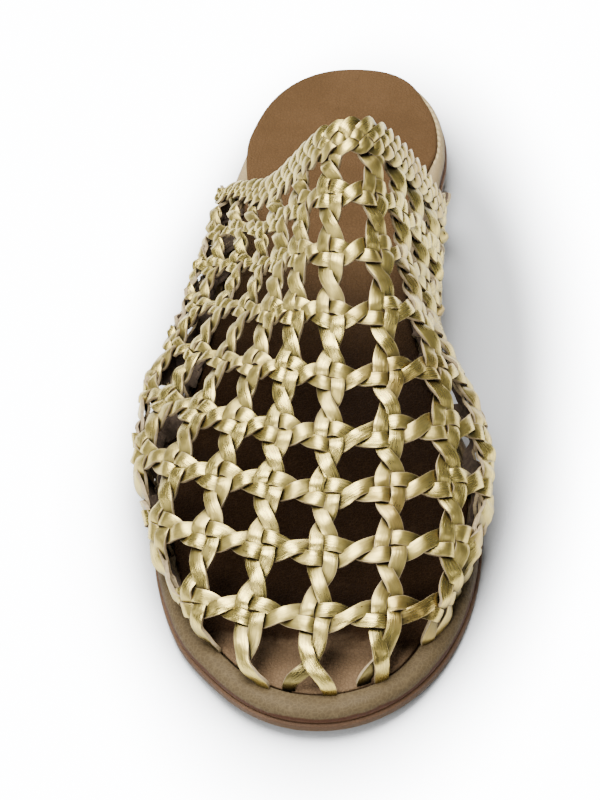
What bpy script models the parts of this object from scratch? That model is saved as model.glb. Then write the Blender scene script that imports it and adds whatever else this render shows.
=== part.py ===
"""Hand-woven leather mule for the right foot, toe towards -Y, standing on the floor at z = 0.

Footbed, midsole with a raised rim, thin outsole, low stacked heel, an upper woven of paired
leather strips as one open lattice wall, and a plaited collar along its top line.
All sizes below are millimetres; the objects are built in metres.
"""
import math

import bmesh
import bpy
import numpy as np
from mathutils import Vector

MM = 0.001

# ---------------------------------------------------------------- named sizes
LENGTH = 262.0            # heel back to toe tip, outer sole
CENTRE_X = 1.9            # middle of the widest points, from the heel axis towards the inner side
HEEL_HALF = 32.5          # half width of the round heel
HEEL_ROUND = 43.0         # length of the round heel end
HEEL_POWER = 2.25
TOE_X = 8.9               # toe tip sits this far to the inner side
TOE_OUTER_REACH = 52.7    # outer toe quarter: width, start station
TOE_OUTER_FROM = 168.0
TOE_OUTER_POWER = 2.05
TOE_INNER_REACH = 42.9    # inner toe quarter
TOE_INNER_FROM = 198.0
TOE_INNER_POWER = 2.1
GROOVE_TIP = 254.0        # where the upper meets the sole at the toe

OUTSOLE_THICK = 3.0
LAYER_GAP = 0.3
RIM_TOP = 7.7             # above the sole's underside
CHANNEL_FLOOR = 5.4
INSOLE_TOP = 7.5
WALL_THICK = 1.8
SKIRT = 2.2               # part of the wall hidden between rim and footbed
HEEL_FRONT = 57.0
SPLIT = 0.74              # share of a half section above its widest point

GRID = 4                  # mesh cells in one lattice period
WALL_START = 0.03         # first lattice row, just behind the toe
WALL_END = 8.86           # lattice row where the open weave stops
COLLAR_FROM = 8.93
COLLAR_TO = 9.55
COLLAR_EASE = 0.07        # extra gap to the weave towards the sole
RELIEF_STRIP = 0.5        # how far strips stand out of the wall
RELIEF_KNOT = 0.8

# ---------------------------------------------------------------- short tables, one row per section
# station along the foot, outer edge x, inner edge x
SOLE_EDGE = np.array([
    [43.0, -32.5, 32.5],
    [63.0, -33.8, 30.8],
    [85.0, -35.2, 29.4],
    [105.0, -36.8, 29.6],
    [130.0, -39.8, 34.5],
    [150.0, -42.4, 42.0],
    [168.0, -43.8, 48.6],
    [185.0, -43.4, 51.6],
    [198.0, -41.8, 51.8],
])
# station, height of the sole's underside (heel seat, arch, ball, toe spring)
UNDERSIDE = np.array([
    [0.0, 7.0], [55.0, 6.8], [90.0, 4.6], [125.0, 1.4],
    [150.0, 0.1], [165.0, 0.0], [205.0, 0.0], [235.0, 0.7], [262.0, 3.0],
])
# station, distance of the weave's foot line from the sole edge
FOOT_LINE = np.array([[50.0, 3.0], [200.0, 4.0], [225.0, 4.6], [245.0, 6.5], [262.0, 8.0]])
# last sections: station, ridge height, ridge x, widest x outer / inner, height of widest outer / inner,
# side fullness and ridge fullness outer, then inner
SECTIONS = np.array([
    [45.0, 93.0, 5.0, -34.5, 32.0, 22.0, 22.0, 2.40, 2.20, 1.70, 1.50],
    [75.0, 87.0, 6.0, -37.6, 33.5, 22.0, 22.0, 2.40, 2.20, 1.70, 1.50],
    [97.0, 79.0, 8.0, -39.8, 35.6, 21.0, 21.0, 2.40, 2.20, 1.60, 1.50],
    [121.0, 69.0, 9.5, -43.2, 38.4, 20.0, 20.0, 2.25, 2.20, 1.45, 1.50],
    [137.0, 61.5, 10.5, -46.4, 43.0, 19.5, 19.5, 2.00, 2.10, 1.30, 1.45],
    [154.0, 54.0, 11.5, -49.6, 49.0, 19.0, 19.0, 1.75, 1.95, 1.15, 1.40],
    [168.0, 47.5, 12.0, -50.0, 51.5, 19.0, 19.0, 1.40, 1.75, 1.05, 1.40],
    [184.0, 41.0, 12.5, -47.6, 53.2, 19.0, 19.0, 1.05, 1.55, 1.00, 1.40],
    [198.0, 36.0, 12.5, -43.6, 52.2, 18.0, 18.0, 0.90, 1.40, 0.92, 1.35],
    [213.0, 31.0, 12.5, -38.0, 49.0, 17.0, 17.0, 0.85, 1.25, 0.88, 1.25],
    [228.0, 26.0, 12.0, -30.0, 43.0, 16.0, 16.0, 0.82, 1.10, 0.85, 1.15],
    [240.0, 22.0, 11.0, -21.5, 35.0, 15.0, 15.0, 0.82, 1.00, 0.85, 1.05],
    [248.0, 18.5, 10.0, -12.0, 26.0, 13.0, 13.0, 0.85, 0.90, 0.85, 0.90],
    [252.0, 15.0, 9.3, -3.0, 18.0, 12.2, 12.2, 0.85, 0.85, 0.85, 0.85],
    [254.0, 11.4, 9.0, 7.0, 11.0, 11.2, 11.2, 0.85, 0.85, 0.85, 0.85],
])
# station, how broad the crown over the ridge is
CROWN = np.array([[97.0, 0.50], [137.0, 0.42], [154.0, 0.30], [168.0, 0.18], [198.0, 0.0]])
# weave rows: row, station on the ridge, at the outer foot line, at the inner foot line,
# column spacing on the outer side, on the inner side, column value on the ridge
ROWS = np.array([
    [0.0, 254.0, 254.0, 254.0, 18.5, 19.5, 0.05],
    [1.0, 238.5, 223.0, 222.0, 18.2, 19.3, 0.10],
    [2.0, 220.5, 191.0, 197.0, 17.6, 18.7, 0.14],
    [3.0, 204.0, 160.0, 174.0, 17.0, 18.0, 0.18],
    [4.0, 188.5, 133.0, 151.0, 16.0, 17.4, 0.22],
    [5.0, 172.0, 111.0, 131.0, 15.0, 16.6, 0.25],
    [6.0, 155.0, 95.0, 114.0, 14.4, 15.8, 0.30],
    [7.0, 137.5, 84.0, 99.0, 14.0, 15.2, 0.34],
    [8.0, 121.0, 73.0, 85.0, 13.6, 14.6, 0.37],
    [9.0, 105.0, 61.0, 71.0, 13.0, 14.0, 0.40],
    [10.0, 90.0, 48.0, 57.0, 13.0, 14.0, 0.40],
])
ROW_SWEEP_OUTER = 1.5
ROW_SWEEP_INNER = 1.25


# ---------------------------------------------------------------- curves
def smooth(table, column, at):
    """Monotone cubic through one column of a table whose first column is the station."""
    xk = table[:, 0]
    yk = table[:, column]
    at = np.asarray(at, float)
    step = np.diff(xk)
    slope = np.diff(yk) / step
    m = np.zeros_like(yk)
    m[0] = slope[0]
    m[-1] = slope[-1]
    for i in range(1, len(xk) - 1):
        if slope[i - 1] * slope[i] > 0.0:
            w1 = 2.0 * step[i] + step[i - 1]
            w2 = step[i] + 2.0 * step[i - 1]
            m[i] = (w1 + w2) / (w1 / slope[i - 1] + w2 / slope[i])
    i = np.clip(np.searchsorted(xk, at, side="right") - 1, 0, len(xk) - 2)
    t = np.clip((at - xk[i]) / step[i], 0.0, 1.0)
    a = (1.0 + 2.0 * t) * (1.0 - t) ** 2
    b = t * (1.0 - t) ** 2
    c = t * t * (3.0 - 2.0 * t)
    d = t * t * (t - 1.0)
    return a * yk[i] + b * step[i] * m[i] + c * yk[i + 1] + d * step[i] * m[i + 1]


def quarter(u, power):
    """Quarter of a superellipse: 1 at u = 0, 0 at u = 1."""
    u = np.clip(u, 0.0, 1.0)
    return (1.0 - u ** power) ** (1.0 / power)


def sole_edge(s):
    """Outer and inner edge of the sole at station s."""
    s = np.asarray(s, float)
    heel = HEEL_HALF * quarter((HEEL_ROUND - s) / HEEL_ROUND, HEEL_POWER)
    outer_u = (s - TOE_OUTER_FROM) / (LENGTH - TOE_OUTER_FROM)
    inner_u = (s - TOE_INNER_FROM) / (LENGTH - TOE_INNER_FROM)
    toe_out = TOE_X - TOE_OUTER_REACH * quarter(outer_u, TOE_OUTER_POWER)
    toe_in = TOE_X + TOE_INNER_REACH * quarter(inner_u, TOE_INNER_POWER)
    mid_out = smooth(SOLE_EDGE, 1, s)
    mid_in = smooth(SOLE_EDGE, 2, s)
    out = np.where(s < HEEL_ROUND, -heel, np.where(s < TOE_OUTER_FROM, mid_out, toe_out))
    inn = np.where(s < HEEL_ROUND, heel, np.where(s < TOE_INNER_FROM, mid_in, toe_in))
    return out, inn


def underside(s):
    return smooth(UNDERSIDE, 1, s)


def edge_side(count, inset, side):
    """Points of one sole edge from heel to toe, moved inwards by inset (a number or a function of s)."""
    t = np.linspace(0.0, 1.0, count)
    dense = np.linspace(0.0, 1.0, 8 * count + 1)
    s_dense = LENGTH * (1.0 - np.cos(math.pi * dense)) / 2.0
    x_dense = sole_edge(s_dense)[side]
    tx = np.gradient(x_dense)
    ts = np.gradient(s_dense)
    norm = np.hypot(tx, ts) + 1e-9
    sign = 1.0 if side == 0 else -1.0
    move = inset(s_dense) if callable(inset) else inset
    px = x_dense + sign * ts / norm * move
    ps = s_dense - sign * tx / norm * move
    return np.interp(t, dense, px), np.interp(t, dense, ps)


def foot_inset(s):
    return np.interp(s, FOOT_LINE[:, 0], FOOT_LINE[:, 1])


FOOT = []
for _side in (0, 1):
    _x, _s = edge_side(400, foot_inset, _side)
    _keep = (_s > 20.0) & (np.arange(len(_s)) <= int(np.argmax(_s)))
    FOOT.append((_s[_keep], _x[_keep]))


def foot_line(s):
    """Where the weave goes into the sole: outer x, inner x."""
    return np.interp(s, *FOOT[0]), np.interp(s, *FOOT[1])


def last_point(s, tau):
    """Point of the last at station s; tau is -1 at the outer foot line, 0 on the ridge, 1 inner."""
    s, tau = np.broadcast_arrays(np.asarray(s, float), np.asarray(tau, float))
    ridge, ridge_x, w_out, w_in, z_out, z_in, p_out, q_out, p_in, q_in = [
        smooth(SECTIONS, i, s) for i in range(1, 11)]
    f_out, f_in = foot_line(s)
    foot_z = underside(s) + RIM_TOP + LAYER_GAP
    a = np.abs(tau)
    wide = np.where(tau < 0, w_out, w_in)
    wide_z = np.where(tau < 0, z_out, z_in)
    foot_x = np.where(tau < 0, f_out, f_in)
    side_full = np.where(tau < 0, p_out, p_in)
    ridge_full = np.where(tau < 0, q_out, q_in)
    phi = np.clip(a / SPLIT, 0.0, 1.0) * math.pi / 2.0
    cos_phi = np.clip(np.cos(phi), 0.0, 1.0)
    crown = smooth(CROWN, 1, s) * np.sin(phi) * cos_phi ** 6
    x = ridge_x + (wide - ridge_x) * (np.sin(phi) ** side_full + crown)
    z = wide_z + (ridge - wide_z) * cos_phi ** ridge_full
    v = np.clip((a - SPLIT) / (1.0 - SPLIT), 0.0, 1.0)
    x = np.where(a > SPLIT, foot_x + (wide - foot_x) * (1.0 - v * v), x)
    z = np.where(a > SPLIT, wide_z - (wide_z - foot_z) * v, z)
    return x, z


TAU = np.linspace(-1.0, 1.0, 361)
ROW_CACHE = {}


def row_curve(r):
    """One weave row over the last, with the column value of each of its points."""
    key = round(float(r), 7)
    if key not in ROW_CACHE:
        ridge_s, out_s, in_s, a_out, a_in, k_ridge = [float(smooth(ROWS, i, key)) for i in range(1, 7)]
        bend = np.where(TAU < 0, np.abs(TAU) ** ROW_SWEEP_OUTER, np.abs(TAU) ** ROW_SWEEP_INNER)
        s = ridge_s - np.where(TAU < 0, ridge_s - out_s, ridge_s - in_s) * bend
        x, z = last_point(s, TAU)
        step = np.sqrt(np.diff(s) ** 2 + np.diff(x) ** 2 + np.diff(z) ** 2)
        along = np.concatenate([[0.0], np.cumsum(step)])
        along = along - along[len(TAU) // 2]
        column = k_ridge + np.where(along < 0, along / a_out, along / a_in)
        ROW_CACHE[key] = (column, x, s, z)
    return ROW_CACHE[key]


def weave_point(c, r):
    """Lattice column c, row r to a point (x, s, z) on the last."""
    column, x, s, z = row_curve(r)
    return np.array([np.interp(c, column, x), np.interp(c, column, s), np.interp(c, column, z)])


def weave_ends(r):
    column = row_curve(r)[0]
    return column[0], column[-1]


def weave_normal(c, r):
    lo, hi = weave_ends(r)
    d = 0.06
    c = min(max(c, lo + d), hi - d)
    r = min(max(r, d), 10.0 - d)
    dc = weave_point(c + d, r) - weave_point(c - d, r)
    dr = weave_point(c, r + d) - weave_point(c, r - d)
    n = np.cross(dr, dc)
    return n / (np.linalg.norm(n) + 1e-9)


def world(x, s, z):
    return Vector(((x - CENTRE_X) * MM, (LENGTH / 2.0 - s) * MM, z * MM))


# ---------------------------------------------------------------- object helpers
def clear_scene():
    for ob in list(bpy.data.objects):
        bpy.data.objects.remove(ob, do_unlink=True)


def material(name, colour, rough, metal=0.0):
    mat = bpy.data.materials.new(name)
    mat.use_nodes = True
    shader = mat.node_tree.nodes["Principled BSDF"]
    shader.inputs["Base Color"].default_value = (*colour, 1.0)
    shader.inputs["Roughness"].default_value = rough
    shader.inputs["Metallic"].default_value = metal
    return mat


def new_object(name, bm, mat, collection):
    bmesh.ops.recalc_face_normals(bm, faces=bm.faces[:])
    mesh = bpy.data.meshes.new(name)
    bm.to_mesh(mesh)
    bm.free()
    for poly in mesh.polygons:
        poly.use_smooth = True
    mesh.materials.append(mat)
    ob = bpy.data.objects.new(name, mesh)
    collection.objects.link(ob)
    return ob


SIDE_POINTS = 35


def sole_ring(bm, inset, height):
    """Closed ring of the sole outline moved in by inset, lying height above the sole's underside."""
    xo, so = edge_side(SIDE_POINTS, inset, 0)
    xi, si = edge_side(SIDE_POINTS, inset, 1)
    outer = [bm.verts.new(world(x, s, underside(s) + height)) for x, s in zip(xo, so)]
    inner = [bm.verts.new(world(x, s, underside(s) + height)) for x, s in zip(xi[1:-1], si[1:-1])]
    return outer + inner[::-1]


def join_rings(bm, low, high):
    count = len(low)
    for i in range(count):
        j = (i + 1) % count
        bm.faces.new((low[i], low[j], high[j], high[i]))


def cap_ring(bm, ring):
    """Close a sole ring with rungs from its outer to its inner side, so that it follows the arch."""
    half = SIDE_POINTS
    for i in range(half - 1):
        a = ring[i]
        b = ring[i + 1]
        c = ring[(2 * half - 2 - (i + 1)) % len(ring)]
        d = ring[(2 * half - 2 - i) % len(ring)]
        corners = []
        for v in (a, b, c, d):
            if v not in corners:
                corners.append(v)
        if len(corners) > 2:
            bm.faces.new(corners)


def sole_layer(name, profile, mat, collection):
    """Sole part from rings: a row of (inset, height) per ring, bottom to top."""
    bm = bmesh.new()
    rings = [sole_ring(bm, inset, height) for inset, height in profile]
    for low, high in zip(rings, rings[1:]):
        join_rings(bm, low, high)
    cap_ring(bm, rings[0])
    cap_ring(bm, rings[-1])
    return new_object(name, bm, mat, collection)


# ---------------------------------------------------------------- sole parts
def rim_inset(s):
    return foot_inset(s) - 1.5 * LAYER_GAP


def rim_shoulder(s):
    """Where the rim's rounded outer edge reaches its flat top; narrow round the heel."""
    return np.minimum(2.1, 0.4 + 0.55 * (rim_inset(s) - 1.0))


def insole_inset(s):
    """Close to the rim round the heel, one wall thickness further in where the weave goes down."""
    blend = np.clip((np.asarray(s) - 36.0) / 14.0, 0.0, 1.0)
    return foot_inset(s) + 0.1 + blend * (WALL_THICK + 0.75)


def build_sole(collection, mats):
    outsole = [(0.9, 0.0), (0.1, 0.6), (0.0, 2.4), (0.6, OUTSOLE_THICK)]
    sole_layer("outsole", outsole, mats["outsole"], collection)
    mid_low = OUTSOLE_THICK + LAYER_GAP
    midsole = [
        (1.2, mid_low), (0.5, mid_low + 0.5), (0.4, mid_low + 2.0), (0.9, 6.7),
        (rim_shoulder, RIM_TOP), (lambda s: rim_inset(s) - 0.6, RIM_TOP), (rim_inset, RIM_TOP - 0.4),
        (rim_inset, CHANNEL_FLOOR),
    ]
    sole_layer("midsole", midsole, mats["midsole"], collection)
    insole = [
        (insole_inset, CHANNEL_FLOOR + LAYER_GAP),
        (insole_inset, INSOLE_TOP - 0.4),
        (lambda s: insole_inset(s) + 0.5, INSOLE_TOP),
    ]
    sole_layer("insole", insole, mats["insole"], collection)


def build_heel(collection, mats):
    """Low lift: a D-shaped plate grown from its outline, foot slightly smaller than its seat."""
    bm = bmesh.new()
    side = 15
    rings = []
    profile = [(1.9, 0.0, 0.0), (1.3, 0.5, 0.0), (0.7, 0.0, 1.0)]
    for inset, low, share in profile:
        s_line = HEEL_FRONT * (1.0 - np.cos(math.pi / 2.0 * np.linspace(0.0, 1.0, side)))
        pts = []
        for which in (0, 1):
            xd, sd = edge_side(300, inset, which)
            keep = sd < 100.0
            xs = np.interp(s_line + inset, sd[keep], xd[keep])
            run = [(x, s + inset) for x, s in zip(xs, s_line)]
            pts.append(run)
        outline = pts[0] + pts[1][:0:-1]
        ring = []
        for x, s in outline:
            s = min(s, HEEL_FRONT)
            top = float(underside(s)) - LAYER_GAP
            ring.append(bm.verts.new(world(x, s, low + share * top)))
        rings.append(ring)
    for low, high in zip(rings, rings[1:]):
        join_rings(bm, low, high)
    for ring in (rings[0], rings[-1]):
        for i in range(side - 1):
            corners = []
            for v in (ring[i], ring[i + 1], ring[-(i + 1)], ring[-i] if i else ring[0]):
                if v not in corners:
                    corners.append(v)
            bm.faces.new(corners)
    return new_object("heel", bm, mats["heel"], collection)


# ---------------------------------------------------------------- woven upper
def near(value, target):
    return abs(value - target) < 0.02


def relief(c, r):
    fc = c - math.floor(c)
    fr = r - math.floor(r)
    on_c = near(fc, 0.0) or near(fc, 1.0)
    on_r = near(fr, 0.0) or near(fr, 1.0)
    if on_c and on_r:
        return RELIEF_KNOT
    if (on_c and near(fr, 0.5)) or (on_r and near(fc, 0.5)):
        return RELIEF_KNOT
    if on_c or on_r:
        return RELIEF_STRIP
    return 0.0


def inside_by(c, r):
    lo, hi = weave_ends(r)
    return min(c - lo, hi - c)


def hole_allowed(k, j):
    """A gap is cut where all its corners stay clear of the sole."""
    reach = 0.25
    if j + 0.5 + reach > WALL_END - 0.1:
        return False
    corners = [(k + 0.5 + a, j + 0.5 + b) for a in (-reach, reach) for b in (-reach, reach)]
    return all(inside_by(c, r) > 0.16 for c, r in corners)


def part_gap(face):
    """Beside the toe, where a whole gap does not fit, the corner of it that does."""
    return all(v.co.y < 1.0 and inside_by(v.co.x, v.co.y) > 0.16 for v in face.verts)


def build_upper(collection, mats):
    """Lattice grid laid out flat in weave columns and rows, trimmed to the foot line, then shaped."""
    first, last = -8, 7
    rows = 9
    bm = bmesh.new()
    bmesh.ops.create_grid(bm, x_segments=(last - first) * GRID, y_segments=rows * GRID, size=0.5)
    for v in bm.verts:
        v.co.x = first + (v.co.x + 0.5) * (last - first)
        v.co.y = (v.co.y + 0.5) * rows
    bmesh.ops.delete(bm, geom=[v for v in bm.verts if v.co.y > WALL_END + 0.15], context="VERTS")
    for v in bm.verts:
        v.co.y = min(max(v.co.y, WALL_START), WALL_END)
        lo, hi = weave_ends(v.co.y)
        if abs(v.co.x - lo) < 0.11:
            v.co.x = lo
        if abs(v.co.x - hi) < 0.11:
            v.co.x = hi

    def outside(v):
        return -inside_by(v.co.x, v.co.y)

    cuts = []
    for e in list(bm.edges):
        a = outside(e.verts[0])
        b = outside(e.verts[1])
        if a * b < 0.0 and min(abs(a), abs(b)) > 1e-6:
            low, high = 0.0, 1.0
            p = e.verts[0].co.copy()
            q = e.verts[1].co.copy()
            for _ in range(30):
                mid = (low + high) / 2.0
                at = p.lerp(q, mid)
                if (-inside_by(at.x, at.y) > 0.0) == (a > 0.0):
                    low = mid
                else:
                    high = mid
            cuts.append((e, e.verts[0], (low + high) / 2.0))
    for e, start, share in cuts:
        bmesh.utils.edge_split(e, start, share)
    bm.verts.ensure_lookup_table()
    line = [v for v in bm.verts if abs(outside(v)) < 1e-3]
    bmesh.ops.connect_verts(bm, verts=line)
    drop = [f for f in bm.faces
            if inside_by(f.calc_center_median().x, f.calc_center_median().y) < 0.0
            or max(outside(v) for v in f.verts) > 3e-3]
    bmesh.ops.delete(bm, geom=drop, context="FACES")
    bmesh.ops.delete(bm, geom=[v for v in bm.verts if not v.link_faces], context="VERTS")

    gaps = {}
    drop = []
    for f in bm.faces:
        mid = f.calc_center_median()
        k = math.floor(mid.x)
        j = math.floor(mid.y)
        if abs(mid.x - k - 0.5) < 0.25 and abs(mid.y - j - 0.5) < 0.25:
            if (k, j) not in gaps:
                gaps[(k, j)] = hole_allowed(k, j)
            if gaps[(k, j)] or part_gap(f):
                drop.append(f)
    bmesh.ops.delete(bm, geom=drop, context="FACES")
    bmesh.ops.delete(bm, geom=[v for v in bm.verts if not v.link_faces], context="VERTS")

    flat = {v: (v.co.x, v.co.y) for v in bm.verts}
    foot_edges = []
    for e in bm.edges:
        if len(e.link_faces) == 1:
            on = [abs(inside_by(*flat[v])) < 4e-3 or flat[v][1] < WALL_START + 1e-4 for v in e.verts]
            if all(on):
                foot_edges.append(e)
    for v, (c, r) in flat.items():
        fc = c - math.floor(c)
        fr = r - math.floor(r)
        k = math.floor(c)
        j = math.floor(r)
        cc, rr = c, r
        if near(fr, 0.5) and (near(fc, 0.25) or near(fc, 0.75)) and gaps.get((k, j), False):
            cc = c - 0.07 if fc < 0.5 else c + 0.07
        if near(fc, 0.5) and (near(fr, 0.25) or near(fr, 0.75)) and gaps.get((k, j), False):
            rr = r - 0.07 if fr < 0.5 else r + 0.07
        if near(r, 8.75):
            rr = 8.68
        cc = float(np.clip(cc, *weave_ends(rr)))
        fade = min(1.0, max(0.0, (inside_by(c, r) - 0.2) / 0.6), max(0.0, r / 0.45))
        p = weave_point(cc, rr) + weave_normal(cc, rr) * relief(c, r) * fade
        v.co = world(*p)
    grow_skirt(bm, foot_edges)
    bmesh.ops.recalc_face_normals(bm, faces=bm.faces[:])
    up = sum(f.normal.z * f.calc_area() for f in bm.faces)
    if up < 0.0:
        bmesh.ops.reverse_faces(bm, faces=bm.faces[:])
    ob = shell_object("upper", bm, mats["upper"], collection, WALL_THICK)
    return ob


def grow_skirt(bm, edges):
    """Carry the wall's foot straight down into the channel between rim and footbed."""
    grown = bmesh.ops.extrude_edge_only(bm, edges=edges)
    for item in grown["geom"]:
        if isinstance(item, bmesh.types.BMVert):
            s = LENGTH / 2.0 - item.co.y / MM
            item.co.z = (float(underside(s)) + RIM_TOP + LAYER_GAP - SKIRT) * MM


def shell_object(name, bm, mat, collection, thick):
    mesh = bpy.data.meshes.new(name)
    bm.to_mesh(mesh)
    bm.free()
    for poly in mesh.polygons:
        poly.use_smooth = True
    mesh.materials.append(mat)
    ob = bpy.data.objects.new(name, mesh)
    collection.objects.link(ob)
    mod = ob.modifiers.new("wall", "SOLIDIFY")
    mod.thickness = thick * MM
    mod.offset = -1.0
    mod.use_even_offset = False
    mod.use_rim = True
    return ob


def build_collar(collection, mats):
    """Flat plait along the top line: a band of the last, raised into slanting strands."""
    along = 60
    across = 4
    bm = bmesh.new()
    bmesh.ops.create_grid(bm, x_segments=along, y_segments=across, size=0.5)
    flat = {}
    for v in bm.verts:
        u = v.co.x + 0.5
        w = v.co.y + 0.5
        ease = COLLAR_EASE * (2.0 * u - 1.0) ** 2
        r = COLLAR_FROM + ease + (COLLAR_TO - COLLAR_FROM) * w
        lo, hi = weave_ends(r)
        c = lo + (hi - lo) * u
        i = round(u * along)
        j = round(w * across)
        height = 0.3 if j in (0, across) else 0.9
        if j == across // 2:
            height = 1.3 if i % 3 else 0.8
        fade = min(1.0, u / 0.05, (1.0 - u) / 0.05)
        flat[v] = (i, weave_point(c, r) + weave_normal(c, r) * height * fade)
    foot_edges = [e for e in bm.edges
                  if len(e.link_faces) == 1 and all(flat[v][0] in (0, along) for v in e.verts)]
    for v, (i, p) in flat.items():
        v.co = world(*p)
    grow_skirt(bm, foot_edges)
    bmesh.ops.recalc_face_normals(bm, faces=bm.faces[:])
    if sum(f.normal.z * f.calc_area() for f in bm.faces) < 0.0:
        bmesh.ops.reverse_faces(bm, faces=bm.faces[:])
    return shell_object("collar_braid", bm, mats["collar"], collection, WALL_THICK)


def main():
    clear_scene()
    collection = bpy.data.collections.new("woven_mule")
    bpy.context.scene.collection.children.link(collection)
    mats = {
        "outsole": material("brown_sole_leather", (0.16, 0.075, 0.035), 0.6),
        "midsole": material("natural_rim_leather", (0.42, 0.29, 0.17), 0.62),
        "heel": material("stacked_heel_leather", (0.52, 0.38, 0.24), 0.65),
        "insole": material("footbed_leather", (0.30, 0.17, 0.095), 0.7),
        "upper": material("gold_strip_leather", (0.66, 0.58, 0.36), 0.38, 0.35),
        "collar": material("gold_collar_leather", (0.68, 0.60, 0.38), 0.38, 0.35),
    }
    build_sole(collection, mats)
    build_heel(collection, mats)
    build_upper(collection, mats)
    build_collar(collection, mats)


main()
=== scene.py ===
"""Woven leather mule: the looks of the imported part, laid out as a Blender add-on.

Sizes in the code are millimetres, as the solids' own; meshes are placed in metres.
Stations run from the heel's back to the toe tip, c and r count lengthwise and crosswise strip pairs.
"""

import math

import bpy
import numpy as np
from bpy.props import FloatProperty, FloatVectorProperty, IntProperty, PointerProperty
from mathutils import Matrix, Vector


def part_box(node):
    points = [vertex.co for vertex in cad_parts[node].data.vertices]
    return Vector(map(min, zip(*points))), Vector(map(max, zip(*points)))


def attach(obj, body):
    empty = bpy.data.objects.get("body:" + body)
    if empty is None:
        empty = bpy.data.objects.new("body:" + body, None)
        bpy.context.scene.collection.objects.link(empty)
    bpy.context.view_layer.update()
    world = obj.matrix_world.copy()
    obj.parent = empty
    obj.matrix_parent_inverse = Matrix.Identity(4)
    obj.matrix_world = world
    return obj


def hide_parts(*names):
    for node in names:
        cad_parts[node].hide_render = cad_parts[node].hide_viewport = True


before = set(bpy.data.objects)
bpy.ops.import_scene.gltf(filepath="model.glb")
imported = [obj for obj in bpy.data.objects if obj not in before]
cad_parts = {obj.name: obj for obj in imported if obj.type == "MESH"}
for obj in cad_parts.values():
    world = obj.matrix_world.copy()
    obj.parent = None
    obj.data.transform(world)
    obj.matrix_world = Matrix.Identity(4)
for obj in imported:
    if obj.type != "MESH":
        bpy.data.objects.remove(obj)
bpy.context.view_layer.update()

bl_info = {
    "name": "Woven leather mule",
    "version": (1, 0, 0),
    "blender": (4, 5, 0),
    "location": "View3D > Sidebar > Mule",
    "description": "Weaves, plaits and finishes a flat leather mule around its packed solids",
    "category": "Object",
}

MM = 0.001
BODY = "root"

# ---------------------------------------------------------------- sizes shared with the solids
LENGTH = round((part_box("outsole")[1].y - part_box("outsole")[0].y) / MM, 1)
CENTRE_X = 1.9            # middle of the widest points, from the heel axis towards the inner side
HEEL_HALF = 32.5
HEEL_ROUND = 43.0
HEEL_POWER = 2.25
TOE_X = 8.9
TOE_OUTER_REACH = 52.7
TOE_OUTER_FROM = 168.0
TOE_OUTER_POWER = 2.05
TOE_INNER_REACH = 42.9
TOE_INNER_FROM = 198.0
TOE_INNER_POWER = 2.1
OUTSOLE_THICK = 3.0
LAYER_GAP = 0.3
RIM_TOP = 7.7             # above the sole's underside
CHANNEL_FLOOR = 5.4
FOOTBED_TOP = 7.5
SPLIT = 0.74              # share of a half section above its widest point
PLAIT_ROW = 9.24          # lattice row along the middle of the plaited top line
ROW_SWEEP_OUTER = 1.5
ROW_SWEEP_INNER = 1.25

# station, outer edge x, inner edge x
SOLE_EDGE = np.array([
    [43.0, -32.5, 32.5], [63.0, -33.8, 30.8], [85.0, -35.2, 29.4], [105.0, -36.8, 29.6],
    [130.0, -39.8, 34.5], [150.0, -42.4, 42.0], [168.0, -43.8, 48.6], [185.0, -43.4, 51.6],
    [198.0, -41.8, 51.8],
])
# station, height of the sole's underside
UNDERSIDE = np.array([
    [0.0, 7.0], [55.0, 6.8], [90.0, 4.6], [125.0, 1.4],
    [150.0, 0.1], [165.0, 0.0], [205.0, 0.0], [235.0, 0.7], [262.0, 3.0],
])
# station, distance of the weave's foot line from the sole edge
FOOT_LINE = np.array([[50.0, 3.0], [200.0, 4.0], [225.0, 4.6], [245.0, 6.5], [262.0, 8.0]])
# last sections: station, ridge height, ridge x, widest x outer / inner, height of widest outer / inner,
# side fullness and ridge fullness outer, then inner
SECTIONS = np.array([
    [45.0, 93.0, 5.0, -34.5, 32.0, 22.0, 22.0, 2.40, 2.20, 1.70, 1.50],
    [75.0, 87.0, 6.0, -37.6, 33.5, 22.0, 22.0, 2.40, 2.20, 1.70, 1.50],
    [97.0, 79.0, 8.0, -39.8, 34.0, 21.0, 21.0, 2.40, 2.20, 1.60, 1.50],
    [121.0, 69.0, 9.5, -43.2, 34.4, 20.0, 20.0, 2.25, 2.20, 1.45, 1.50],
    [137.0, 61.5, 10.5, -46.4, 38.8, 19.5, 19.5, 2.00, 2.10, 1.30, 1.45],
    [154.0, 54.0, 11.5, -49.6, 47.0, 19.0, 19.0, 1.75, 1.95, 1.15, 1.40],
    [168.0, 47.5, 12.0, -50.0, 51.5, 19.0, 19.0, 1.40, 1.75, 1.05, 1.40],
    [184.0, 41.0, 12.5, -47.6, 53.2, 19.0, 19.0, 1.05, 1.55, 1.00, 1.40],
    [198.0, 36.0, 12.5, -43.6, 52.2, 18.0, 18.0, 0.90, 1.40, 0.92, 1.35],
    [213.0, 31.0, 12.5, -38.0, 49.0, 17.0, 17.0, 0.85, 1.25, 0.88, 1.25],
    [228.0, 26.0, 12.0, -30.0, 43.0, 16.0, 16.0, 0.82, 1.10, 0.85, 1.15],
    [240.0, 22.0, 11.0, -21.5, 35.0, 15.0, 15.0, 0.82, 1.00, 0.85, 1.05],
    [248.0, 18.5, 10.0, -12.0, 26.0, 13.0, 13.0, 0.85, 0.90, 0.85, 0.90],
    [252.0, 15.0, 9.3, -3.0, 18.0, 12.2, 12.2, 0.85, 0.85, 0.85, 0.85],
    [254.0, 11.4, 9.0, 7.0, 11.0, 11.2, 11.2, 0.85, 0.85, 0.85, 0.85],
])
# station, how broad the crown over the ridge is
CROWN = np.array([[97.0, 0.50], [137.0, 0.42], [154.0, 0.30], [168.0, 0.18], [198.0, 0.0]])
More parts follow.
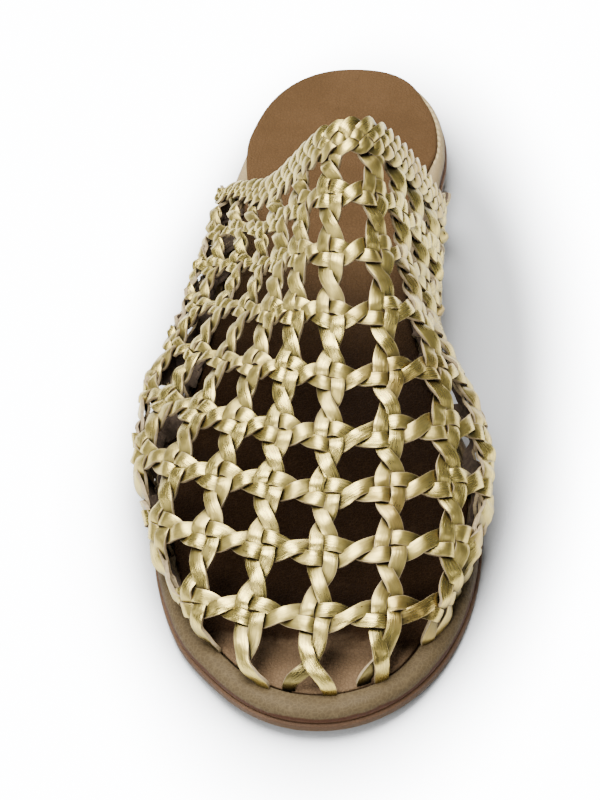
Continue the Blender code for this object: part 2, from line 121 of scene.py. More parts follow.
# weave rows: row, station on the ridge, at the outer foot line, at the inner foot line,
# column spacing on the outer side, on the inner side, column value on the ridge
ROWS = np.array([
    [0.0, 254.0, 254.0, 254.0, 18.5, 19.5, 0.05],
    [1.0, 238.5, 223.0, 222.0, 18.2, 19.3, 0.10],
    [2.0, 220.5, 191.0, 197.0, 17.6, 18.7, 0.14],
    [3.0, 204.0, 160.0, 174.0, 17.0, 18.0, 0.18],
    [4.0, 188.5, 133.0, 151.0, 16.0, 17.4, 0.22],
    [5.0, 172.0, 111.0, 131.0, 15.0, 16.6, 0.25],
    [6.0, 155.0, 95.0, 114.0, 14.4, 15.8, 0.30],
    [7.0, 137.5, 84.0, 99.0, 14.0, 15.2, 0.34],
    [8.0, 121.0, 73.0, 85.0, 13.6, 14.6, 0.37],
    [9.0, 105.0, 61.0, 71.0, 13.0, 14.0, 0.40],
    [10.0, 90.0, 48.0, 57.0, 13.0, 14.0, 0.40],
    [11.0, 75.0, 35.0, 43.0, 13.0, 14.0, 0.40],
])
# how the woven lattice settles away from the even one on the outer side:
# row, sideways drift of the columns, how far the rows run back towards the heel
OUTER_DRIFT = np.array([
    [0.0, 0.00, 0.00], [2.5, 0.15, 0.03], [3.5, 0.28, 0.15], [4.5, 0.38, 0.20], [5.5, 0.55, 0.30],
    [6.5, 0.74, 0.38], [7.5, 0.50, 0.45], [8.0, 0.02, 0.45], [8.5, -0.50, 0.42], [9.24, -0.80, 0.0],
    [9.8, -0.80, 0.0],
])
# column, row of the even lattice along which the plait's middle runs
PLAIT_LINE = np.array([
    [-8.5, 8.85], [-7.0, 9.00], [-6.0, 9.34], [-5.0, 9.72], [-4.0, 9.38], [-3.0, 9.00], [-2.0, 8.94],
    [-1.0, 8.94], [0.0, 8.99], [1.0, 9.08], [2.0, 9.15], [3.0, 9.27], [4.0, 9.34], [7.5, 9.34],
])

# ---------------------------------------------------------------- sizes of the weave
STRIP_LEATHERS = ("gold_foil_leather", "flesh_side", "raw_cut_edge")    # front, back, cut edges
STRIP_STEP = 0.95         # length of one mesh cell along a strip
STRIP_ACROSS = 4          # mesh cells across a strip
STRIP_CAMBER = 0.18       # how far a strip domes between its edges
CUT_EDGE = 0.14           # rounding of the cut edges
FIRST_COLUMN = -8
LAST_COLUMN = 6
WEAVE_ROWS = 8
PAIR_SHARE = 0.165        # most that a strip lies off its pair's middle, as a share of the pairs' spacing
HOLD_APART = 0.35         # how far the strips of a pair keep apart between two swaps
SIDE_WANDER = 0.32        # sideways unevenness of a strip
WIDTH_UNEVEN = 0.05       # unevenness of the width, as a share of it
UV_PER_MM = 0.1           # streaks are laid along a strip in this measure
UV_APART = 37.0           # and this much apart from strip to strip
ROLL_UNEVEN = math.radians(7.0)
OUTER_TURN = math.radians(34.0)     # lengthwise strips turn edge out on the steep sides
COLUMN_END = 9.14         # the lengthwise strips end under the plait
LONGEST_COLUMN = 245.0
WIDEST_SPACING = 17.0     # of two lengthwise pairs
ROW_OVERSHOOT = 0.3       # columns by which a crosswise strip is worked out past the foot line
TOE_CROSSING = 0.30       # where the pairs cross before they go down at the toe
TOE_SPREAD = 0.42         # rows over which a pair spreads at the toe
TOE_SPLAY = 2.3           # by how many times its offset it spreads
LAST_TOE_ROW = 1.3        # a strip that starts further back goes down in the side, not at the toe
SHORTEST_STRIP = 12       # in mesh cells
TAIL = 4.0                # what a strip goes down into the groove
TUCK = 0.9                # how far a strip draws in where it is sewn down or runs under the plait

PLAIT_STRANDS = 4
PLAIT_THINNER = 0.9       # thickness of a strand, as a share of a strip's
PLAIT_STEP = 0.55
PLAIT_SLOPE = math.radians(41.0)    # of a strand to the band's length
PLAIT_PACKING = 1.04      # strands lie this much more than their width apart
PLAIT_SHARPNESS = 0.985   # 1 turns a strand at the band's edge without a bend
PLAIT_FILL = 0.92         # share of the band's half width that a strand's middle reaches
PLAIT_SLIMMER = 0.52      # how much the band narrows on the outer side
PLAIT_SWING = 0.66        # rise and dip of a strand
PLAIT_LIFT = 0.2          # of the band's middle over the last
PLAIT_CAMBER = 0.25
PLAIT_WANDER = 0.18
PLAIT_ROLL = math.radians(6.0)

# ---------------------------------------------------------------- sizes of the sole and the stage
SIDE_COUNT = 110          # points of one sole edge
WAIST_SWELL = 3.3         # how far the sole's outer side stands out at the waist
TOE_SWELL = 1.9           # and beside the little toe
PALE_RIM = (0.34, 0.25, 0.125)      # the rim's leather at the heel, where it has not darkened
RIM_SET_BACK = 0.62       # of the rim's side behind the sole's edge
RIM_RADIUS = 3.6
FOOTBED_FOOT = RIM_TOP + 0.06       # where the footbed's edge rests at the heel
STITCH_PITCH = 2.9
STITCHED = (15.0, 50.0)   # stations between which the heel seat is sewn
STITCH_TURN = math.radians(14.0)

CAMERA_AT = Vector((76.4, -506.3, 543.8))
CAMERA_LEVEL = math.radians(2.44)     # heading of the view's level line, across the shoe
AIM_AT = Vector((-4.0, -33.0, 28.0))


# ---------------------------------------------------------------- curves of the last
def smooth(table, column, at):
    """Monotone cubic through one column of a table, read at values of its first column."""
    xk = table[:, 0]
    yk = table[:, column]
    at = np.asarray(at, float)
    step = np.diff(xk)
    slope = np.diff(yk) / step
    m = np.zeros_like(yk)
    m[0] = slope[0]
    m[-1] = slope[-1]
    for i in range(1, len(xk) - 1):
        if slope[i - 1] * slope[i] > 0.0:
            w1 = 2.0 * step[i] + step[i - 1]
            w2 = step[i] + 2.0 * step[i - 1]
            m[i] = (w1 + w2) / (w1 / slope[i - 1] + w2 / slope[i])
    i = np.clip(np.searchsorted(xk, at, side="right") - 1, 0, len(xk) - 2)
    t = np.clip((at - xk[i]) / step[i], 0.0, 1.0)
    a = (1.0 + 2.0 * t) * (1.0 - t) ** 2
    b = t * (1.0 - t) ** 2
    c = t * t * (3.0 - 2.0 * t)
    d = t * t * (t - 1.0)
    return a * yk[i] + b * step[i] * m[i] + c * yk[i + 1] + d * step[i] * m[i + 1]


def quarter(u, power):
    """Quarter of a superellipse: 1 at u = 0, down to 0 at u = 1."""
    u = np.clip(u, 0.0, 1.0)
    return (1.0 - u ** power) ** (1.0 / power)


def ramp(value, low, high):
    """0 below low, 1 above high, eased between."""
    t = np.clip((np.asarray(value, float) - low) / (high - low), 0.0, 1.0)
    return t * t * (3.0 - 2.0 * t)


def sole_edge(s):
    """x of the sole's outer and inner edge at station s."""
    s = np.asarray(s, float)
    heel = HEEL_HALF * quarter((HEEL_ROUND - s) / HEEL_ROUND, HEEL_POWER)
    outer_u = (s - TOE_OUTER_FROM) / (LENGTH - TOE_OUTER_FROM)
    inner_u = (s - TOE_INNER_FROM) / (LENGTH - TOE_INNER_FROM)
    toe_out = TOE_X - TOE_OUTER_REACH * quarter(outer_u, TOE_OUTER_POWER)
    toe_in = TOE_X + TOE_INNER_REACH * quarter(inner_u, TOE_INNER_POWER)
    out = np.where(s < HEEL_ROUND, -heel, np.where(s < TOE_OUTER_FROM, smooth(SOLE_EDGE, 1, s), toe_out))
    inn = np.where(s < HEEL_ROUND, heel, np.where(s < TOE_INNER_FROM, smooth(SOLE_EDGE, 2, s), toe_in))
    return out - waist_swell(s), inn


def waist_swell(s):
    """The sole swells a little on the outer side, at its waist and beside the little toe."""
    waist = WAIST_SWELL * ramp(s, 24.0, 66.0) * (1.0 - ramp(s, 78.0, 132.0))
    return waist + TOE_SWELL * ramp(s, 176.0, 212.0) * (1.0 - ramp(s, 234.0, 251.0))


def underside(s):
    return smooth(UNDERSIDE, 1, s)


def edge_side(count, inset, side):
    """Points of one sole edge from heel to toe, moved inwards by inset, a number or function(s, side)."""
    t = np.linspace(0.0, 1.0, count)
    dense = np.linspace(0.0, 1.0, 8 * count + 1)
    s_dense = LENGTH * (1.0 - np.cos(math.pi * dense)) / 2.0
    x_dense = sole_edge(s_dense)[side]
    tx = np.gradient(x_dense)
    ts = np.gradient(s_dense)
    norm = np.hypot(tx, ts) + 1e-9
    sign = 1.0 if side == 0 else -1.0
    move = inset(s_dense, side) if callable(inset) else inset
    px = x_dense + sign * ts / norm * move
    ps = s_dense - sign * tx / norm * move
    return np.interp(t, dense, px), np.interp(t, dense, ps)


def foot_inset(s, side=0):
    """Distance of the weave's foot line from the sole's edge; the swell doesn't move the line."""
    inset = np.interp(s, FOOT_LINE[:, 0], FOOT_LINE[:, 1])
    return inset + waist_swell(s) if side == 0 else inset


def foot_sides():
    """Stations and x of the foot line, from the heel to its foremost point, on each side."""
    sides = []
    for side in (0, 1):
        x, s = edge_side(400, foot_inset, side)
        keep = (s > 20.0) & (np.arange(len(s)) <= int(np.argmax(s)))
        sides.append((s[keep], x[keep]))
    return sides


FOOT = foot_sides()


def last_point(s, tau):
    """Point of the last at station s; tau is -1 at the outer foot line, 0 on the ridge, 1 inner."""
    s, tau = np.broadcast_arrays(np.asarray(s, float), np.asarray(tau, float))
    ridge, ridge_x, w_out, w_in, z_out, z_in, p_out, q_out, p_in, q_in = [
        smooth(SECTIONS, i, s) for i in range(1, 11)]
    f_out = np.interp(s, *FOOT[0])
    f_in = np.interp(s, *FOOT[1])
    foot_z = underside(s) + RIM_TOP + LAYER_GAP
    a = np.abs(tau)
    wide = np.where(tau < 0, w_out, w_in)
    wide_z = np.where(tau < 0, z_out, z_in)
    foot_x = np.where(tau < 0, f_out, f_in)
    side_full = np.where(tau < 0, p_out, p_in)
    ridge_full = np.where(tau < 0, q_out, q_in)
    phi = np.clip(a / SPLIT, 0.0, 1.0) * math.pi / 2.0
    cos_phi = np.clip(np.cos(phi), 0.0, 1.0)
    crown = smooth(CROWN, 1, s) * np.sin(phi) * cos_phi ** 6
    x = ridge_x + (wide - ridge_x) * (np.sin(phi) ** side_full + crown)
    z = wide_z + (ridge - wide_z) * cos_phi ** ridge_full
    v = np.clip((a - SPLIT) / (1.0 - SPLIT), 0.0, 1.0)
    x = np.where(a > SPLIT, foot_x + (wide - foot_x) * (1.0 - v * v), x)
    z = np.where(a > SPLIT, wide_z - (wide_z - foot_z) * v, z)
    return x, z


# ---------------------------------------------------------------- the lattice laid over the last
class Lattice:
    """Where lattice column c and row r lie on the last, as an even table that is read in between.

    Past the foot line a row goes on straight down, into the groove of the sole.
    """

    ROW_STEP = 1.0 / 24.0
    COLUMN_STEP = 1.0 / 24.0
    FIRST_ROW = 0.03
    LAST_ROW = 9.72
    LAST_EVEN_ROW = 10.6
    COLUMNS = (-9.5, 8.0)
    TAU = np.linspace(-1.0, 1.0, 361)
    REACH = 0.05          # half the span over which slopes are taken

    def __init__(self):
        self.columns = np.arange(self.COLUMNS[0], self.COLUMNS[1], self.COLUMN_STEP)
        self.rows = np.arange(self.FIRST_ROW, self.LAST_EVEN_ROW, self.ROW_STEP)
        self.table = np.zeros((len(self.rows), len(self.columns), 3))
        self.low = np.zeros(len(self.rows))
        self.high = np.zeros(len(self.rows))
        for i, r in enumerate(self.rows):
            column, points, a_out, a_in = self.row_line(r)
            self.low[i] = column[0]
            self.high[i] = column[-1]
            for axis in range(3):
                self.table[i, :, axis] = np.interp(self.columns, column, points[:, axis])
            self.table[i, :, 2] -= np.clip(column[0] - self.columns, 0.0, None) * a_out
            self.table[i, :, 2] -= np.clip(self.columns - column[-1], 0.0, None) * a_in
        self.settle()

    def settle(self):
        """Read the even lattice where the woven one has settled, and keep that as the table."""
        rows = np.arange(self.FIRST_ROW, self.LAST_ROW, self.ROW_STEP)
        r, c = np.meshgrid(rows, self.columns, indexing="ij")
        even_c, even_r = settled(c, r)
        low, high = self.ends(even_r)
        inside = (even_c > low) & (even_c < high)
        self.table = self.point(even_c, even_r)
        self.rows = rows
        self.low = self.columns[np.argmax(inside, axis=1)]
        self.high = self.columns[len(self.columns) - 1 - np.argmax(inside[:, ::-1], axis=1)]

    def row_line(self, r):
        """Columns and points of one row over the last, with the outer and the inner column spacing."""
        ridge_s, out_s, in_s, a_out, a_in, ridge_c = [float(smooth(ROWS, i, r)) for i in range(1, 7)]
        tau = self.TAU
        bend = np.where(tau < 0, np.abs(tau) ** ROW_SWEEP_OUTER, np.abs(tau) ** ROW_SWEEP_INNER)
        s = ridge_s - np.where(tau < 0, ridge_s - out_s, ridge_s - in_s) * bend
        x, z = last_point(s, tau)
        points = np.stack([x - CENTRE_X, LENGTH / 2.0 - s, z], axis=1)
        along = length_along(points)
        along = along - along[len(tau) // 2]
        return ridge_c + np.where(along < 0, along / a_out, along / a_in), points, a_out, a_in

    def ends(self, r):
        """First and last column of a row, at the foot lines."""
        return np.interp(r, self.rows, self.low), np.interp(r, self.rows, self.high)

    def point(self, c, r):
        c, r = np.broadcast_arrays(np.asarray(c, float), np.asarray(r, float))
        u = np.clip((r - self.FIRST_ROW) / self.ROW_STEP, 0.0, len(self.rows) - 1.001)
        v = np.clip((c - self.COLUMNS[0]) / self.COLUMN_STEP, 0.0, len(self.columns) - 1.001)
        i = u.astype(int)
        j = v.astype(int)
        fu = (u - i)[..., None]
        fv = (v - j)[..., None]
        t = self.table
        near = t[i, j] * (1.0 - fv) + t[i, j + 1] * fv
        far = t[i + 1, j] * (1.0 - fv) + t[i + 1, j + 1] * fv
        return near * (1.0 - fu) + far * fu

    def slopes(self, c, r):
        """Change of place per column and per row."""
        d = self.REACH
        r = np.clip(r, self.FIRST_ROW + d, self.rows[-1] - d)
        low, high = self.ends(r)
        c = np.clip(c, low + d, high - d)
        per_c = (self.point(c + d, r) - self.point(c - d, r)) / (2.0 * d)
        per_r = (self.point(c, r + d) - self.point(c, r - d)) / (2.0 * d)
        return per_c, per_r

    def normal(self, c, r):
        per_c, per_r = self.slopes(c, r)
        return unit(np.cross(per_c, per_r))


def unit(v):
    return v / (np.linalg.norm(v, axis=-1, keepdims=True) + 1e-9)


def length_along(points):
    """Length from the first point of a line to each of its points."""
    return np.concatenate([[0.0], np.cumsum(np.linalg.norm(np.diff(points, axis=0), axis=1))])


def read_along(at, along, points):
    """Points of a line at given lengths."""
    return np.stack([np.interp(at, along, points[:, i]) for i in range(points.shape[1])], axis=1)


def settled(c, r):
    """Even-lattice column and row at which column c and row r of the woven lattice lie."""
    outer = np.clip(-c, 0.0, None)
    drift = smooth(OUTER_DRIFT, 1, r) * ramp(outer, 0.0, 3.0)
    back = smooth(OUTER_DRIFT, 2, r) * ramp(outer, 2.2, 4.4) * (1.0 - ramp(outer, 5.6, 7.4))
    even_c = c + drift
    line = smooth(PLAIT_LINE, 1, even_c) - PLAIT_ROW
    share = ramp(r, 8.3, PLAIT_ROW)
    return even_c, r + back * (1.0 - share) + line * share


LATTICE = Lattice()


# ---------------------------------------------------------------- settings
class MuleWeaveSizes(bpy.types.PropertyGroup):
    strip_width: FloatProperty(name="Strip width", description="Width of a woven strip, in mm",
                               default=3.95, min=3.0, max=8.0)
    strip_thick: FloatProperty(name="Strip thickness", description="Thickness of the leather, in mm",
                               default=1.0, min=0.6, max=2.5)
    pair_half: FloatProperty(name="Pair offset", description="Strip centre to the pair's middle, in mm",
                             default=2.3, min=1.5, max=4.0)
    lift: FloatProperty(name="Lift", description="How far a strip rises over a crossing, in mm",
                        default=0.85, min=0.3, max=1.5)
    wander: FloatProperty(name="Wander", description="Hand-made unevenness, 1 is normal",
                          default=1.0, min=0.0, max=3.0)
    plait_width: FloatProperty(name="Plait strand", description="Width of a plaited strand, in mm",
                               default=3.45, min=2.0, max=6.0)
    seed: IntProperty(name="Seed", description="Which unevenness the weave gets", default=7, min=0)


def colour_property(name, description, value):
    return FloatVectorProperty(name=name, description=description, default=value, subtype="COLOR",
                               size=3, min=0.0, max=1.0)


class MuleColours(bpy.types.PropertyGroup):
    gold: colour_property("Gold", "Foil side of the strips", (0.64, 0.50, 0.135))
    # also the base of the painted shade where strips dip under crossing strips
    old_gold_and_dip_shade: colour_property("Old gold", "Where the foil has darkened", (0.175, 0.138, 0.058))
    # partly painted shade: the inner side lies away from the light
    patina_and_side_shade: colour_property("Patina", "Warm stains on the inner side", (0.30, 0.17, 0.04))
    raw_edge: colour_property("Raw edge", "Cut edges of the strips", (0.42, 0.32, 0.18))
    flesh: colour_property("Flesh side", "Back of the strips", (0.060, 0.043, 0.030))
    footbed: colour_property("Footbed", "Lining leather of the footbed", (0.081, 0.0435, 0.0175))
    rim: colour_property("Rim", "Natural leather rim", (0.090, 0.063, 0.031))
    sole_edge: colour_property("Sole edge", "Burnished edge of the outsole", (0.098, 0.055, 0.030))
    heel: colour_property("Heel", "Pale stacked lift", (0.44, 0.32, 0.15))
    thread: colour_property("Thread", "Stitches of the heel seat", (0.50, 0.38, 0.20))


class MuleStageSettings(bpy.types.PropertyGroup):
    key_power: FloatProperty(name="Key light", description="Power of the large soft light, in watts",
                             default=36.0, min=0.0, subtype="POWER")
    lens: FloatProperty(name="Lens", description="Focal length, in mm", default=110.0, min=20.0)


# ---------------------------------------------------------------- modelling helpers
def deselect():
    bpy.ops.object.select_all(action="DESELECT")


def edit_mode():
    bpy.ops.object.mode_set(mode="EDIT")


def object_mode():
    bpy.ops.object.mode_set(mode="OBJECT")


def new_piece(name):
    ob = bpy.context.object
    ob.name = name
    ob.data.name = name
    return ob


def choose(*obs):
    """Select pieces and no others, the first one active."""
    deselect()
    for ob in obs:
        ob.select_set(True)
    bpy.context.view_layer.objects.active = obs[0]


def set_places(ob, places):
    """Vertex places in millimetres."""
    ob.data.vertices.foreach_set("co", (np.asarray(places, float) * MM).ravel())
    ob.data.update()


def read_places(ob):
    """Vertex places as the mesh holds them, in metres."""
    places = np.zeros(len(ob.data.vertices) * 3)
    ob.data.vertices.foreach_get("co", places)
    return places.reshape(-1, 3)


def read_picked(ob):
    picked = np.zeros(len(ob.data.vertices), bool)
    ob.data.vertices.foreach_get("select", picked)
    return picked


def on_whole(ob, tool, **values):
    """Run one of the mesh tools on a whole piece."""
    choose(ob)
    edit_mode()
    bpy.ops.mesh.select_all(action="SELECT")
    tool(**values)
    object_mode()


def apply_modifier(ob, kind, **values):
    mod = ob.modifiers.new("shape", kind)
    for key, value in values.items():
        setattr(mod, key, value)
    choose(ob)
    bpy.ops.object.modifier_apply(modifier=mod.name)


def own_copy(source):
    """Copy of an object with a mesh of its own."""
    ob = source.copy()
    ob.data = source.data.copy()
    bpy.context.scene.collection.objects.link(ob)
    return ob


def join_as(name, obs):
    choose(*obs)
    bpy.ops.object.join()
    return new_piece(name)


def point_values(ob, name, values, kind="FLOAT"):
    """Keep one value for each vertex under a name."""
    kept = ob.data.attributes.get(name) or ob.data.attributes.new(name, kind, "POINT")
    kept.data.foreach_set("value", np.asarray(values))


def read_values(ob, name):
    values = np.zeros(len(ob.data.vertices), int)
    ob.data.attributes[name].data.foreach_get("value", values)
    return values


def smooth_noise(rng, along, waves=(9.0, 16.0, 31.0)):
    """Gentle wander along a length, about -1 to 1."""
    total = np.zeros_like(along)
    for wave in waves:
        total += np.sin(2.0 * math.pi * along / wave + rng.uniform(0.0, 2.0 * math.pi))
    return total / math.sqrt(len(waves)) / 1.2


# ---------------------------------------------------------------- strips
def strip_mesh(centres, normals, widths, rolls, camber, tone, dip):
    """One flat strip of leather along a route: a grid whose columns of points are set across it."""
    count = len(centres)
    deselect()
    bpy.ops.mesh.primitive_grid_add(x_subdivisions=STRIP_ACROSS, y_subdivisions=count - 1, size=2.0)
    ob = bpy.context.object
    places = read_places(ob)
    across = places[:, 0]
    index = np.rint((places[:, 1] + 1.0) / 2.0 * (count - 1)).astype(int)
    ahead = unit(np.gradient(centres, axis=0))
    up = unit(normals - ahead * np.sum(ahead * normals, axis=1, keepdims=True))
    side = np.cross(ahead, up)
    turn = rolls[:, None]
    side, up = side * np.cos(turn) + up * np.sin(turn), up * np.cos(turn) - side * np.sin(turn)
    shift = side[index] * (across * widths[index] / 2.0)[:, None]
    dome = up[index] * (camber * (0.5 - across ** 2))[:, None]
    set_places(ob, centres[index] + shift + dome)
    point_values(ob, "tone", np.full(len(places), tone))
    point_values(ob, "dip", dip[index])
    corner = np.zeros(len(ob.data.loops), int)
    ob.data.loops.foreach_get("vertex_index", corner)
    lengthways = length_along(centres)[index[corner]] * UV_PER_MM + tone * UV_APART
    flat = np.stack([across[corner], lengthways], axis=1)
    ob.data.uv_layers.active.data.foreach_set("uv", flat.ravel())
    return ob


def thicken(ob, thick):
    """Give joined strips their thickness, flesh side and raw edges, and soften the cut edges."""
    for name in STRIP_LEATHERS:
        ob.data.materials.append(bpy.data.materials[name])
    apply_modifier(ob, "SOLIDIFY", thickness=thick * MM, offset=0.0,
                   material_offset=1, material_offset_rim=2)
    apply_modifier(ob, "BEVEL", width=CUT_EDGE * MM, segments=2, limit_method="ANGLE",
                   angle_limit=math.radians(50.0))
    choose(ob)
    bpy.ops.object.shade_smooth_by_angle(angle=math.radians(60.0))


def weave_height(at, crossings):
    """Rises and dips along a strip: +1 over, -1 under at each crossing, eased from one to the next."""
    keys, signs = np.array(sorted(crossings, key=lambda crossing: crossing[0])).T
    i = np.clip(np.searchsorted(keys, at) - 1, 0, len(keys) - 2)
    t = np.clip((at - keys[i]) / (keys[i + 1] - keys[i]), 0.0, 1.0)
    return signs[i] + (signs[i + 1] - signs[i]) * t * t * (3.0 - 2.0 * t)


def side_swap(at):
    """Side of its pair on which a strip runs: flat at the crossings with other pairs, swapping between."""
    wave = np.cos(math.pi * at)
    return wave * (1.0 + HOLD_APART * (1.0 - wave * wave))


def add_tail(centres, normals):
    """Carry a strip's last end down into the groove of the sole."""
    way = unit(centres[-1] - centres[-2])
    lean = normals[-1]
    flat = unit(lean * np.array([1.0, 1.0, 0.0]) + np.array([0.0, 0.0, 1e-3]))
    count = max(3, int(TAIL / STRIP_STEP))
    places = [centres[-1]]
    leans = []
    for i in range(count):
        t = min(1.0, (i + 1.0) / (count * 0.5))
        step = unit(way * (1.0 - t) + np.array([0.0, 0.0, -1.0]) * t)
        places.append(places[-1] + step * TAIL / count)
        leans.append(unit(lean * (1.0 - (i + 1.0) / count) + flat * (i + 1.0) / count))
    return np.concatenate([centres, places[1:]]), np.concatenate([normals, leans])


def inside_run(ok):
    """Longest unbroken run of a mask."""
    best = (0, 0)
    start = None
    for i, good in enumerate(list(ok) + [False]):
        if good and start is None:
            start = i
        if not good and start is not None:
            if i - start > best[1] - best[0]:
                best = (start, i)
            start = None
    return slice(*best)


def finish_strip(both_ends, sizes, rng, route):
    """Tails, unevenness and mesh of one woven strip; its start goes into the sole, or both ends do."""
    centres, normals, *shares = route
    centres, normals = [v[::-1] for v in add_tail(centres[::-1], normals[::-1])]
    if both_ends:
        centres, normals = add_tail(centres, normals)
    along = length_along(centres)
    added = len(along) - len(shares[0])
    first = added // 2 if both_ends else added
    loose, dip, turn, grow = [np.pad(share, (first, added - first), mode="edge") for share in shares]
    width = sizes.strip_width * grow * (1.0 + WIDTH_UNEVEN * rng.normal())
    width = width * (1.0 + WIDTH_UNEVEN * smooth_noise(rng, along))
    rolls = ROLL_UNEVEN * smooth_noise(rng, along, (7.0, 12.0, 23.0)) * (sizes.wander * loose)
    tone = rng.uniform(0.0, 1.0)
    return strip_mesh(centres, normals, width, rolls + turn, STRIP_CAMBER, tone, dip)


def looseness(c, r):
    """The weave is less even down the outer side."""
    return 1.0 + 1.3 * ramp(-c, 2.0, 4.5) * ramp(r, 2.5, 5.0)


def slimness(c, r):
    """The pairs are drawn tighter and leave wider openings high on the outer side."""
    return 1.0 - 0.28 * ramp(-c, 1.6, 3.0) * ramp(r, 3.8, 5.2)


def fullness(c, r):
    """Strips lie closer and wider where they go down into the sides of the sole."""
    low, high = LATTICE.ends(r)
    near = 1.0 - ramp(np.minimum(c - low, high - c), 0.3, 1.7)
    inner = 0.16 * (1.0 - ramp(high - c, 0.8, 2.4)) * ramp(r, 2.4, 3.4) * (1.0 - ramp(r, 7.6, 8.6))
    return slimness(c, r) + inner + 0.32 * near * ramp(r, 1.2, 2.2) * (1.0 - ramp(r, 3.8, 5.5))


def spacings(c, r):
    """Millimetres from column to column and from row to row."""
    return [np.linalg.norm(slope, axis=1) for slope in LATTICE.slopes(c, r)]


def pair_offset(sizes, spacing):
    """How far a strip lies off the middle of its pair."""
    return np.minimum(sizes.pair_half, PAIR_SHARE * spacing)


def cross_pair(crossings, at, share, under, after):
    """A strip's way past another pair: under one strip and over the next, or the other way round."""
    sign = -1.0 if under else 1.0
    crossings += [(at - share, sign), (at + share, -sign), (after, sign)]


def lay_strip(both_ends, outer_turn, sizes, rng, c, r, height, loose):
    """Lay a strip over the last along columns c and rows r, at a height over the middle of the weave.

    Between its crossings it turns by outer_turn where the vamp is steep.
    """
    normals = LATTICE.normal(c, r)
    centres = LATTICE.point(c, r) + normals * height[:, None]
    steep = ramp(np.abs(normals[:, 0]), 0.35, 0.85)
    turn = outer_turn * normals[:, 0] * steep * np.sin(math.pi * r) ** 2
    route = even_steps(centres, normals, loose, -height / sizes.lift, turn, fullness(c, r))
    return finish_strip(both_ends, sizes, rng, route)


def sewn_reach(k, start):
    """Rows by which the pair of column k runs on past row start, down into the side of the sole."""
    if k < 0 or start > 6.0:
        return 0.9
    return 1.1 if start > 2.8 else 0.4


def column_strip(k, hand, sizes, rng):
    """Lengthwise strip: one of the pair of column k, from the toe to under the plait."""
    r = np.linspace(Lattice.FIRST_ROW, COLUMN_END, int(LONGEST_COLUMN / STRIP_STEP))
    low, high = LATTICE.ends(r)
    wide, deep = spacings(np.clip(k, low, high), r)
    half = pair_offset(sizes, wide) * slimness(k, r)
    splay = 1.0 + TOE_SPLAY * ramp(TOE_SPREAD - r, 0.0, TOE_SPREAD)
    turned = np.where(r < 1.0, 1.0 - (1.0 - r) * 0.5 / (1.0 - TOE_CROSSING), r)
    along = np.concatenate([[0.0], np.cumsum(deep[1:] * np.diff(r))])
    loose = looseness(k, r)
    drift = SIDE_WANDER * smooth_noise(rng, along) * sizes.wander * loose
    c = k + (half * splay * (hand * side_swap(turned)) + drift) / wide
    run = inside_run((c > low + 0.03) & (c < high - 0.03))
    if run.stop - run.start < SHORTEST_STRIP:
        return None
    crossings = []
    for j in range(WEAVE_ROWS + 3):
        under = hand * math.cos(math.pi * j) < 0.0
        if j == 0:
            sign = -1.0 if under else 1.0
            crossings += [(-0.5, sign), (TOE_CROSSING, sign)]
            continue
        share = float(np.interp(j, r, pair_offset(sizes, deep) / deep))
        cross_pair(crossings, j, share, under, j + 0.5)
    height = weave_height(r, crossings) * sizes.lift - TUCK * ramp(r, 8.70, 8.92)
    start = r[run.start]
    if start > LAST_TOE_ROW:
        hug = 0.33 + 0.17 * hand if k < 0 else 0.44 + 0.28 * hand
        c = np.maximum(c, low + hug) if k < 0 else np.minimum(c, high - hug)
        run = slice(int(np.searchsorted(r, start - sewn_reach(k, start))), run.stop)
        free = ramp(along - along[run.start], 0.5, 9.0)
        height = height * free - TUCK * (1.0 - free)
    return lay_strip(False, OUTER_TURN, sizes, rng, c[run], r[run], height[run], loose[run])


def row_strip(j, hand, sizes, rng):
    """Crosswise strip: one of the pair of row j, from the outer to the inner foot line."""
    low, high = [float(v) for v in LATTICE.ends(float(j))]
    count = int((high - low) * WIDEST_SPACING / STRIP_STEP)
    c = np.linspace(low - ROW_OVERSHOOT, high + ROW_OVERSHOOT, count)
    middle = np.full(count, float(j))
    wide, deep = spacings(np.clip(c, low, high), middle)
    half = pair_offset(sizes, deep) * slimness(c, j)
    along = np.concatenate([[0.0], np.cumsum(wide[1:] * np.diff(c))])
    loose = looseness(c, middle)
    drift = SIDE_WANDER * smooth_noise(rng, along) * sizes.wander * loose
    r = j + (half * hand * side_swap(c) + drift) / deep
    row_low, row_high = LATTICE.ends(r)
    run = inside_run((c > row_low + 0.02) & (c < row_high - 0.02))
    crossings = []
    for k in range(FIRST_COLUMN - 2, LAST_COLUMN + 3):
        share = float(np.interp(k, c, pair_offset(sizes, wide) / wide))
        cross_pair(crossings, k, share, hand * math.cos(math.pi * k) > 0.0, k + 0.5)
    free = ramp(np.minimum(c - row_low, row_high - c), 0.05, 0.60)
    height = weave_height(c, crossings) * sizes.lift * free - TUCK * (1.0 - free)
    return lay_strip(True, 0.0, sizes, rng, c[run], r[run], height[run], loose[run])


def even_steps(centres, normals, *values):
    """Space the points of a route evenly along it."""
    along = length_along(centres)
    at = np.linspace(0.0, along[-1], max(8, int(along[-1] / STRIP_STEP)))
    even = read_along(at, along, centres)
    lean = unit(read_along(at, along, normals))
    return (even, lean) + tuple(np.interp(at, along, v) for v in values)


def plait_line():
    """Middle line of the plait with its outward and backward directions, going down into the sole."""
    u = np.linspace(0.0, 1.0, 600)
    r = np.full_like(u, PLAIT_ROW)
    low, high = LATTICE.ends(r)
    c = low + (high - low) * u
    points = LATTICE.point(c, r)
    normals = LATTICE.normal(c, r)
    back = LATTICE.slopes(c, r)[1]
    ahead = unit(np.gradient(points, axis=0))
    for way in (ahead, normals):
        back = unit(back - way * np.sum(way * back, axis=1, keepdims=True))
    slim = 1.0 - PLAIT_SLIMMER * ramp(-c, 1.8, 3.8)
    return length_along(points), points, normals, back, slim


